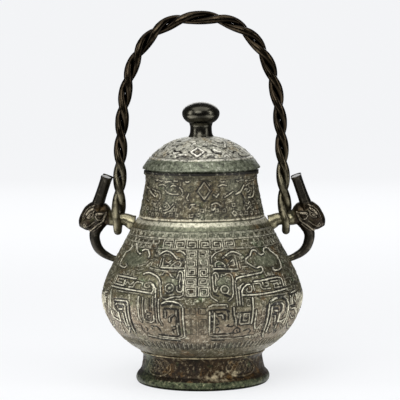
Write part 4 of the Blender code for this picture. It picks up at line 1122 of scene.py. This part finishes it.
# The collar round the pivot stays pale, horns and trunk are dark, and grooves run beside the face's lines
def lugPieces():
    shells = [tubeShell(throughStations(headStations(), 8), 44, wide=0.94),
              tubeShell(throughStations(trunkStations(), 8), 32), hornShell(-1), hornShell(1)]
    points, outward, faces = fuse(shells, lug["voxel"], 2)
    u, v = points[:, 0] - lug["pivot"][0], points[:, 2] - lug["pivot"][1]
    side = ease((np.abs(outward[:, 1]) - 0.1) / 0.35)
    horn = ease((v - 15.0 - 0.12 * (u - 20)) / 2.0) * ease((34 - u) / 3)
    trunk = ease((-v - 9.0 - 0.25 * np.maximum(u - 20, 0)) / 3) * ease((u + 26) / 4)
    head = ease((u - 7.0) / 1.5) * (1 - horn) * (1 - trunk)
    dark = np.maximum(horn, trunk)
    strokes = headStrokes()
    widened = [(line, width + lug["grooveWidth"], height) for line, width, height in strokes]
    raised = strokesAt(u, v, strokes) * side * head
    sunk = np.clip(strokesAt(u, v, widened) * side * head - raised, 0, 1)
    uneven = 0.10 * lumps(points, 2.4, 71) + 0.12 * lumps(points, 6.0, 72)
    lift = raised * lug["strokeHeight"] - sunk * lug["grooveDepth"]
    lift += uneven * (0.4 + 0.6 * head) - lug["inset"] * (1 - dark)
    moved = points + outward * lift[:, None]
    marks = {"raised": raised, "sunk": sunk, "dark": dark, "tint": 1 - ease((u - 5.5) / 4.5)}
    flipped = [face[::-1] for face in faces]
    right = makePiece("lugRight", moved, faces, finishes["head"], marks)
    left = makePiece("lugLeft", moved * np.array([-1, 1, 1]), flipped, finishes["head"], marks)
    return left, right


# Handle: one wire, over by one strand, round a pivot and back by the other, twisted left-handed on itself

handle = {
    "hinge": lug["pivot"][1], "eyeCentre": lug["pivot"][0], "halfSpan": 78.5, "toe": 3.3, "rise": 195.1,
    "strand": 3.45, "gap": -0.1, "pivotClearance": 1.6, "taper": 15.0, "halfTwist": 27.8,
    "ringsPerHalfTwist": 28, "sides": 20, "flatness": 0.62, "slackTop": 0.30, "slackReach": 0.045,
    "eyeSwell": 0.5,
}
eyeRadius = lug["pivotRadius"] + handle["pivotClearance"] + handle["strand"]


# Centre line: rise is the square root of sin, across is cos to the power 1 / 1.18, with a small toe-out at
# the feet
def archPoint(turn):
    rise = np.sin(turn) ** 0.5
    across = -np.copysign(handle["halfSpan"] * np.abs(np.cos(turn)) ** (1 / 1.18), np.cos(turn))
    across = across + np.copysign(handle["toe"] * (1 - rise) ** 6, across)
    return np.stack([across, np.zeros_like(across), handle["hinge"] + handle["rise"] * rise], -1)


# One strand: a helix of one strand's reach round the centre line; also returns the way out from the centre
def strandLine(phase, halfTurns, line):
    count = halfTurns * handle["ringsPerHalfTwist"] + 1
    centre = evenly(line, count)
    along = unit(np.gradient(centre, axis=0))
    inward = np.stack([along[:, 2], np.zeros(count), -along[:, 0]], -1)
    share = np.linspace(0, 1, count)
    rate = 1 - handle["slackTop"] * np.exp(-((share - 0.5) / handle["slackReach"]) ** 2)
    twisted = np.concatenate([[0], np.cumsum(rate[1:] + rate[:-1])])
    angle = (phase - np.pi * halfTurns * twisted / twisted[-1])[:, None]
    away = inward * np.cos(angle) + np.array([0, 1, 0]) * np.sin(angle)
    return centre + away * (handle["strand"] + handle["gap"] / 2), away


# A wire opening out from the twist to the pivot's level; lean -1 is to the front, 1 to the back
def eyeLeg(side, lean, steps=12):
    opening = (np.arange(steps) + 1) / steps
    height = handle["taper"] * (1 - opening)
    centre = archPoint(np.arcsin((height / handle["rise"]) ** 2))
    beside = lean * (handle["strand"] + handle["gap"] / 2)
    across = side * np.abs(centre[:, 0]) + beside * np.cos(np.pi / 2 * opening)
    return np.stack([across, lean * eyeRadius * np.sin(np.pi / 2 * opening), handle["hinge"] + height], -1)


# The half circle under the pivot, which joins an eye's two legs
def eyeBottom(side, lean, steps=24):
    turn = np.pi * np.arange(1, steps) / steps
    return np.stack([np.full(steps - 1, side * handle["eyeCentre"]), lean * eyeRadius * np.cos(turn),
                     handle["hinge"] - eyeRadius * np.sin(turn)], -1)


# The wire as one closed loop. Its rings are widened along the surface of the twist, so that the strands meet,
# and they swell a little at the eyes.
def handlePiece():
    start = math.asin((handle["taper"] / handle["rise"]) ** 2)
    line = archPoint(np.linspace(start, math.pi - start, 4001))
    halfTurns = round(runningLength(line)[-1] / handle["halfTwist"])
    lean = -1 if halfTurns % 2 else 1
    first, firstAway = strandLine(math.pi, halfTurns, line)
    second, secondAway = strandLine(0.0, halfTurns, line)
    runs = [first, eyeLeg(1, lean), eyeBottom(1, lean), eyeLeg(1, -lean)[::-1],
            second[::-1], eyeLeg(-1, 1), eyeBottom(-1, 1), eyeLeg(-1, -1)[::-1]]
    away = [firstAway] + [np.zeros_like(run) for run in runs[1:4]] + [secondAway[::-1]]
    away += [np.zeros_like(run) for run in runs[5:]]
    wire, away = np.concatenate(runs), np.concatenate(away)
    for _ in range(6):
        wire = wire * 0.5 + (np.roll(wire, 1, axis=0) + np.roll(wire, -1, axis=0)) * 0.25
    along = unit(np.roll(wire, -1, axis=0) - np.roll(wire, 1, axis=0))
    upper = ease((wire[:, 2:] - handle["hinge"] - 6) / 14)
    guide = np.array([1, 0, 0]) * (1 - upper) + np.array([0, 1, 0]) * upper
    side = unit(guide - along * np.sum(guide * along, axis=1)[:, None])
    up = np.cross(along, side)
    turn = np.linspace(0, 2 * np.pi, handle["sides"], endpoint=False)[None, :, None]
    out = np.cos(turn) * side[:, None] + np.sin(turn) * up[:, None]
    outer = np.sum(out * away[:, None], axis=2)
    spread = np.linalg.norm(away, axis=1)[:, None]
    girth = handle["strand"] + handle["flatness"] * spread * (1 - outer ** 2)
    girth += handle["eyeSwell"] * (1 - upper)
    grid = wire[:, None] + out * girth[..., None]
    grid += out * (0.12 * lumps(grid, 7.0, 91) - 0.12)[..., None]
    numbers = numbered(grid)
    numbers = np.concatenate([numbers, numbers[:1]])
    dusty = ease((232 - grid[..., 2]) / 58) * (0.75 + 0.5 * lumps(grid, 9.0, 93))
    return makePiece("ropeHandle", grid.reshape(-1, 3), gridFaces(numbers).tolist(), finishes["handle"],
                     {"outer": outer.ravel(), "dusty": np.clip(dusty, 0, 1).ravel()}, sharpDegrees=180)


# Finishes

# Colours laid over each other in turn: each layer is the factor that shows it and its colour in the finish
def layered(tree, finish, base, layers):
    colour = hexColour(finish[base])
    for factor, shade in layers:
        colour = mixColours(tree, factor, colour, hexColour(finish[shade]))
    return colour


# Roughness between the finish's two values, following a noise
def roughBetween(tree, noise, finish):
    low, high = finish["rough"]
    limits = {"Value": noise, "From Min": 0.3, "From Max": 0.7, "To Min": low, "To Max": high}
    return addNode(tree, "ShaderNodeMapRange", limits).outputs["Result"]


# Puts colour and roughness on the shader, with the finish's metal and a bump of fine grain
def finishShader(tree, finish, colour, rough, grainMm, depth):
    grain = blotches(tree, grainMm, 3.0, 0.6, 1.3)
    bump = addNode(tree, "ShaderNodeBump", {"Strength": finish["bump"], "Distance": depth, "Height": grain})
    shader = tree.nodes["Principled BSDF"]
    tree.links.new(colour, shader.inputs["Base Color"])
    tree.links.new(rough, shader.inputs["Roughness"])
    tree.links.new(bump.outputs["Normal"], shader.inputs["Normal"])
    shader.inputs["Metallic"].default_value = finish["metal"]


# Cast bronze under an old patina. The ground changes between dark and mid every few centimetres, with patches
# of earth and verdigris. The attribute tint gives the plain grey-green places, raised the worn lines and the
# painted highlights on the shoulder's roll and the neck's foot ridge, sunk the grime and painted shade in the
# grooves and the painted shadow under the lid, dark the parts kept nearly black, and pale the lower belly,
# part silt and part painted reflection of the floor. Specks of corrosion lie over all of it.
def patinaBronze(name, finish):
    material = bpy.data.materials.new(name)
    material.use_nodes = True
    tree = material.node_tree
    wide = blotches(tree, 22, 5.0, 0.6)
    patch = blotches(tree, 7, 6.0, 0.65, 3.1)
    speck = blotches(tree, 1.7, 5.0, 0.75, 7.7)
    worn = multiply(tree, easeBetween(tree, stored(tree, "raised"), 0.05, 1.0),
                    easeBetween(tree, speck, 0.32, 0.56))
    colour = layered(tree, finish, "ground", (
        (easeBetween(tree, wide, 0.38, 0.62), "mid"),
        (easeBetween(tree, patch, 0.54, 0.70), "earth"),
        (easeBetween(tree, patch, 0.44, 0.30), "green"),
        (easeBetween(tree, stored(tree, "tint"), 0.2, 0.8), "plain"),
        # The pale lower belly: silt and painted reflection of the floor
        (multiply(tree, stored(tree, "pale"), 0.85), "pale"),
        (multiply(tree, easeBetween(tree, speck, 0.52, 0.40), finish["grain"]), "deep"),
        # Worn lines, with the painted highlights on the shoulder's roll and the neck's foot ridge
        (worn, "line"),
        # Painted shade with grime: grooves, cut lines and the neck's top under the lid go near black
        (multiply(tree, stored(tree, "sunk"), finish["dirtAndShade"]), "deep"),
        (multiply(tree, stored(tree, "dark"), 0.85), "black"),
        (multiply(tree, easeBetween(tree, speck, 0.55, 0.66), finish["dust"]), "line")))
    finishShader(tree, finish, colour, roughBetween(tree, patch, finish), 0.8, 0.0005)
    return material


# Dark bronze that hands have polished: smooth, near black, and dusty with earth and verdigris low on the arms
def rubbedBronze(name, finish):
    material = bpy.data.materials.new(name)
    material.use_nodes = True
    tree = material.node_tree
    speck = blotches(tree, 1.8, 4.0, 0.65, 4.2)
    worn = multiply(tree, easeBetween(tree, stored(tree, "outer"), 0.3, 0.95),
                    easeBetween(tree, speck, 0.35, 0.7))
    settled = multiply(tree, stored(tree, "dusty"), easeBetween(tree, speck, 0.22, 0.52))
    colour = layered(tree, finish, "dark", (
        (easeBetween(tree, blotches(tree, 16, 4.0, 0.55), 0.35, 0.65), "mid"),
        (multiply(tree, worn, finish["worn"]), "rub"), (settled, "dust")))
    duller = addNode(tree, "ShaderNodeMath", {0: settled, 1: 0.3, 2: roughBetween(tree, speck, finish)},
                     operation="MULTIPLY_ADD")
    finishShader(tree, finish, colour, duller.outputs[0], 1.0, 0.0003)
    return material


finishes = {
    "belly": patinaBronze("greyPatinaBelly", {
        "ground": "#332f1e", "mid": "#5a5641", "earth": "#634e30", "green": "#4a583c", "plain": "#60624f",
        "pale": "#7a6d5c", "line": "#c0bca8", "deep": "#0d0b06", "black": "#12110c", "grain": 0.5,
        "dirtAndShade": 1.0, "dust": 0.4, "rough": (0.32, 0.52), "metal": 0.65, "bump": 0.8}),
    "neck": patinaBronze("brownGreyPatinaNeck", {
        "ground": "#2e2819", "mid": "#524b36", "earth": "#5c4629", "green": "#455036", "plain": "#545545",
        "pale": "#7d7866", "line": "#beb8a1", "deep": "#0c0904", "black": "#12110c", "grain": 0.75,
        "dirtAndShade": 1.0, "dust": 0.4, "rough": (0.40, 0.60), "metal": 0.55, "bump": 0.8}),
    "foot": patinaBronze("brownPatinaFoot", {
        "ground": "#1b1309", "mid": "#312413", "earth": "#5a4220", "green": "#2f351c", "plain": "#3f4530",
        "pale": "#7a725e", "line": "#9a8f74", "deep": "#0d0a05", "black": "#12110c", "grain": 0.85,
        "dirtAndShade": 0.9, "dust": 0.45, "rough": (0.40, 0.58), "metal": 0.8, "bump": 0.4}),
    "lid": patinaBronze("paleGreyPatinaLid", {
        "ground": "#8a887b", "mid": "#adab9d", "earth": "#918569", "green": "#7f8475", "plain": "#5b5f4e",
        "pale": "#b9b6a8", "line": "#e2dfd3", "deep": "#0e0b06", "black": "#12110c", "grain": 0.75,
        "dirtAndShade": 1.0, "dust": 0.25, "rough": (0.36, 0.54), "metal": 0.55, "bump": 0.7}),
    "head": patinaBronze("brownPatinaHead", {
        "ground": "#19120a", "mid": "#2f2618", "earth": "#49391f", "green": "#2c2a1a", "plain": "#746f59",
        "pale": "#8a8574", "line": "#7d7565", "deep": "#0a0805", "black": "#1f1d17", "grain": 0.5,
        "dirtAndShade": 0.8, "dust": 0.2, "rough": (0.22, 0.38), "metal": 0.85, "bump": 0.25}),
    "handle": rubbedBronze("polishedDarkHandle", {
        "dark": "#110e0a", "mid": "#262018", "rub": "#564c3c", "dust": "#6f6a57", "worn": 0.3,
        "rough": (0.16, 0.27), "metal": 1.0, "bump": 0.25}),
    "knob": rubbedBronze("polishedDarkKnob", {
        "dark": "#2a2924", "mid": "#4a483f", "rub": "#3a372a", "dust": "#5a5846", "worn": 0.4,
        "rough": (0.20, 0.28), "metal": 1.0, "bump": 0.25}),
}


# Making the pieces

# Neck wall: strokes and scrollwork fade out at both ends, the lozenge's core is plain, and a painted shadow
# darkens the top of the neck under the lid
def neckPiece():
    outer = evenly(neckPath, neck["rows"])
    along = np.linspace(0, neckLength[-1], neck["rows"])
    wall = neckLine()[:-3]
    inner = evenly(wall - pot["wall"] * lineNormals(wall), neck["innerRows"])
    inner = np.concatenate([inner, [[pot["neckWaist"] - pot["wall"], pot["height"]]]])
    degrees = np.linspace(-180, 180, neck["columns"] + 1)
    centre = (neck["lozengeAt"][0], upNeck(neck["lozengeAt"][1]))
    half, tall = neck["lozenge"]
    mark = [(lozengeLine(centre, half, tall), 1.7, -1),
            (lozengeLine(centre, half * 0.78, tall * 0.78), 0.9, 0.3)]
    strokes = around(neckCurls() + swung(neckCurls(), 180) + neckGround()) + mark
    lift, raised, groove = drawStrokes(degrees, along, outer[:, 0], strokes, 0.4)
    level = (ease(along / 2) * ease((along[-1] - neck["plainTop"] - along) / 1.2))[:, None]
    places = turnedSkin(outer, degrees)
    share = lozengeShare(degrees, along, centre, half, tall)
    worn = wear(degrees, places, 31) * level * (share >= 0.6)
    lift, raised, groove = lift * worn, raised * worn, groove * level
    size, height = neck["scroll"]
    scroll = scrollGround(places, size, 35) * np.clip(1 - raised - groove, 0, 1) * level * (share >= 0.9)
    skin = castSkin(places, 33) * 1.3 * ease((along[-1] - along) / 1.2)[:, None]
    relief = lift + height * scroll - neck["grooveDepth"] * groove + skin - neck["skin"]
    # Painted highlight: a thin bright line along the ridge at the neck's foot, counted in with the raised
    # lines
    ridge = np.exp(-(outer[:, 1:] - neck["footLine"]) ** 2) * 0.9
    # Painted shadow: the top 2.6 mm of the neck, under the lid's rim, is darkened as shade
    paintedShadowUnderLid = ease((along - along[-1] + 2.6) / 0.8)[:, None]
    marks = {"raised": np.clip(0.85 * raised + 0.6 * scroll + ridge, 0, 1),
             "sunk": np.clip(np.maximum(groove, paintedShadowUnderLid), 0, 1),
             "tint": 0.35 + 0.4 * lumps(places, 15.0, 34)}
    return wallPiece("neckWall", outer, inner, degrees, relief, finishes["neck"], marks, whole=True)


# Foot ring: roundels, a rubbed bead at the top, green low down and a pale crust in front
def footPiece():
    line = footLine()
    length = runningLength(line)
    degrees = np.linspace(-180, 180, foot["columns"] + 1)
    outside = slice(7, 7 + foot["outerRows"])  # the first seven rows are the hidden underside

    def along(height):
        return float(np.interp(height, line[outside, 1], length[outside]))

    strokes = roundelStrokes(along)
    lift, raised, groove = drawStrokes(degrees, length, line[:, 0], around(strokes + swung(strokes, 180)))
    mask = np.zeros((len(line), 1))
    mask[outside] = 1
    places = turnedSkin(line, degrees)
    a, z = degrees[None, :], line[:, 1:]
    (crustA, crustZ), (halfA, halfZ) = foot["crustAt"], foot["crustSize"]
    crust = np.exp(-(((a - crustA) / halfA) ** 2 + ((z - crustZ) / halfZ) ** 2) ** 2)
    crust = crust * ease(0.5 + lumps(places, 5.0, 44) + 0.6 * lumps(places, 2.2, 45)) * mask
    relief = (lift - 0.3 * groove + castSkin(places, 41) + 0.25 * crust - foot["skin"]) * mask
    bead = np.exp(-((z - 30.9) / 0.7) ** 2) * mask
    green = np.maximum(ease((9.5 - z) / 2.5), np.exp(-((a + 60) / 14) ** 2) * 0.8)
    marks = {"raised": np.clip(raised * 0.55 + crust + bead, 0, 1), "sunk": groove * mask,
             "tint": green * mask + 0.2 * lumps(places, 9.0, 47)}
    return turnedPiece("footRing", line, degrees, relief, finishes["foot"], marks)


# Lid: cut strokes and a lozenge with a raised rim on the dome, a step at its foot, a plain band
def lidPiece():
    line, outerStart = lidLine()
    length = runningLength(line)
    degrees = np.linspace(-180, 180, lid["columns"] + 1)
    mask = np.zeros((len(line), 1))
    mask[outerStart:-1] = 1
    dome = slice(len(line) - lid["domeRows"], None)

    def along(radius):
        return float(np.interp(-radius, -line[dome, 0], length[dome]))

    middle = (lid["lozengeAt"][0], along(lid["lozengeAt"][1]))
    cuts = [(lozengeLine(middle, *lid["outerCut"]), 1.0, -1),
            (lozengeLine(middle, *lid["innerCut"]), 1.5, -1)]
    lift, raised, groove = drawStrokes(degrees, length, line[:, 0], lidStrokes(along) + cuts)
    rim = [(lozengeLine(middle, *lid["raisedRim"]), 1.8, 0.5)]
    rimLift, rimRaised, _ = drawStrokes(degrees, length, line[:, 0], rim)
    outside = lozengeShare(degrees, length, middle, *lid["plain"]) >= 1
    lift, raised = np.maximum(lift * outside, rimLift), np.maximum(raised * outside, rimRaised)
    past = length[:, None] - along(lid["domeFoot"])
    step = np.exp(-(past / 0.9) ** 2)
    groove = np.maximum(groove, np.exp(-((past - 2.2) / 0.9) ** 2) * 0.7)
    places = turnedSkin(line, degrees)
    relief = (lift + 0.3 * step - 0.7 * groove + castSkin(places, 51) - lid["skin"]) * mask
    band = ease((-0.8 - past) / 1.2)
    marks = {"raised": np.clip(raised + 0.35 * step, 0, 1) * mask, "sunk": groove * mask,
             "tint": band + 0.25 * lumps(places, 12.0, 55)}
    return turnedPiece("lidShell", line, degrees, relief, finishes["lid"], marks)


# Knob: smooth, without relief
def knobPiece():
    line = knobLine()
    degrees = np.linspace(-180, 180, knob["columns"] + 1)
    return turnedPiece("lidKnob", line, degrees, np.zeros((len(line), len(degrees))), finishes["knob"], {})


bellyFrontLeft = bellyPiece("bellyFrontLeft", -90, 0, *belly["frontGrid"], bellyStrokes(back=False))
bellyFrontRight = bellyPiece("bellyFrontRight", 0, 90, *belly["frontGrid"], bellyStrokes(back=False))
bellyBack = bellyPiece("bellyBack", 90, 270, *belly["backGrid"], bellyStrokes(back=True))
print("belly done")
neckWall = neckPiece()
footRing = footPiece()
lidShell = lidPiece()
lidKnob = knobPiece()
print("neck, foot and lid done")
lugLeft, lugRight = lugPieces()
ropeHandle = handlePiece()
print("lugs and handle done")

# The pot's seven pieces stand in for the vessel; lid and knob ride with it, and the handle swings on its own
for piece in (bellyFrontLeft, bellyFrontRight, bellyBack, neckWall, footRing, lugLeft, lugRight):
    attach(piece, "vessel")
    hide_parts("vessel")
for piece in (lidShell, lidKnob):
    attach(piece, "vessel")
    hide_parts("lid")
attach(ropeHandle, "handle")
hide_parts("handle")


# Studio: a pale floor that curves up all round, one large soft light in front and above, weak fill

studio = {
    "floorRadius": 4.0, "sweepRadius": 2.2, "near": "#6e6f70", "far": "#3e3f40", "fade": (0.3, 1.6),
    "glow": (0.77, 0.975), "paper": "#f4f5f7", "room": 0.12,
    "key": 36.0, "side": 14.0, "top": 36.0, "back": 14.0, "bounce": 3.6, "target": (0, 0, 0.16),
    "distance": 1.8876, "height": 0.3417, "azimuth": 2.4, "aside": 0.0015, "pitch": 5.0, "roll": 0.45,
    "lens": 175.5,
}


# Matt paper that glows a little, and more so far from the object
def palePaper():
    material = bpy.data.materials.new("palePaper")
    material.use_nodes = True
    tree = material.node_tree
    shader = tree.nodes["Principled BSDF"]
    place = addNode(tree, "ShaderNodeTexCoord").outputs["Object"]
    reach = addNode(tree, "ShaderNodeVectorMath", {0: place}, operation="LENGTH").outputs["Value"]
    far = easeBetween(tree, reach, *studio["fade"])
    colour = mixColours(tree, far, hexColour(studio["near"]), hexColour(studio["far"]))
    tree.links.new(colour, shader.inputs["Base Color"])
    least, most = studio["glow"]
    glow = addNode(tree, "ShaderNodeMapRange", {"Value": far, "To Min": least, "To Max": most})
    tree.links.new(glow.outputs["Result"], shader.inputs["Emission Strength"])
    shader.inputs["Roughness"].default_value = 0.9
    shader.inputs["Emission Color"].default_value = hexColour(studio["paper"])
    return material


# Floor: flat out to its radius, then a quarter circle up to the wall
def floorPiece():
    flat = np.linspace(0, studio["floorRadius"], 12)
    turn = np.radians(np.linspace(0, 90, 24))[1:]
    sweep = studio["sweepRadius"]
    curve = np.stack([studio["floorRadius"] + sweep * np.sin(turn), sweep * (1 - np.cos(turn))], -1)
    line = np.concatenate([np.stack([flat, flat * 0], -1), curve])
    grid = turnedSkin(line, np.linspace(0, 360, 97)[:-1]) / metre
    faces = gridFaces(numbered(grid))[:, ::-1].tolist()
    piece = makePiece("paleFloor", grid.reshape(-1, 3), faces, palePaper())
    piece.visible_glossy = False
    piece.visible_diffuse = False
    return piece


floorPiece()


# A rectangular light of a size in metres at a place, aimed at the target
def softLight(name, place, size, power, target=studio["target"]):
    data = bpy.data.lights.new(name, "AREA")
    data.shape = "RECTANGLE"
    data.size, data.size_y = size
    data.energy = power
    light = bpy.data.objects.new(name, data)
    light.location = place
    aim = np.array(target) - np.array(place)
    light.rotation_euler = (math.atan2(math.hypot(aim[0], aim[1]), -aim[2]), 0,
                            math.atan2(aim[1], aim[0]) - math.pi / 2)
    scene.collection.objects.link(light)
    return light


softLight("keySoftbox", (-0.55, -1.9, 1.35), (1.3, 1.1), studio["key"])
softLight("leftStrip", (-1.7, -0.7, 0.7), (0.5, 1.5), studio["side"])
softLight("rightStrip", (1.7, -0.8, 0.7), (0.5, 1.5), studio["side"])
softLight("topSoftbox", (0.0, -0.5, 1.9), (2.4, 1.6), studio["top"])
softLight("backSoftbox", (0.0, 2.2, 1.0), (1.8, 1.2), studio["back"])
for name, x, share in (("leftBounce", -0.42, 1.0), ("middleBounce", 0, 0.35), ("rightBounce", 0.42, 1.0)):
    bounce = softLight(name, (x, -0.2, 0.002), (0.5, 0.6), share * studio["bounce"], (x, -0.199, 1))
    bounce.visible_camera = False

world = bpy.data.worlds.new("paleRoom")
scene.world = world
world.use_nodes = True
backdrop = world.node_tree.nodes["Background"]
backdrop.inputs["Color"].default_value = hexColour(studio["paper"])
backdrop.inputs["Strength"].default_value = studio["room"]

cameraData = bpy.data.cameras.new("camera")
cameraData.lens = studio["lens"]
cameraData.sensor_width = 36
camera = bpy.data.objects.new("camera", cameraData)
swing = math.radians(studio["azimuth"])
away, aside = studio["distance"], studio["aside"]
camera.location = (away * math.sin(swing) - aside * math.cos(swing),
                   -away * math.cos(swing) - aside * math.sin(swing), studio["height"])
turn = (Matrix.Rotation(swing, 3, "Z") @ Matrix.Rotation(math.radians(90 - studio["pitch"]), 3, "X")
        @ Matrix.Rotation(math.radians(-studio["roll"]), 3, "Z"))
camera.rotation_euler = turn.to_euler()
scene.collection.objects.link(camera)
scene.camera = camera
scene.view_settings.view_transform = "Standard"
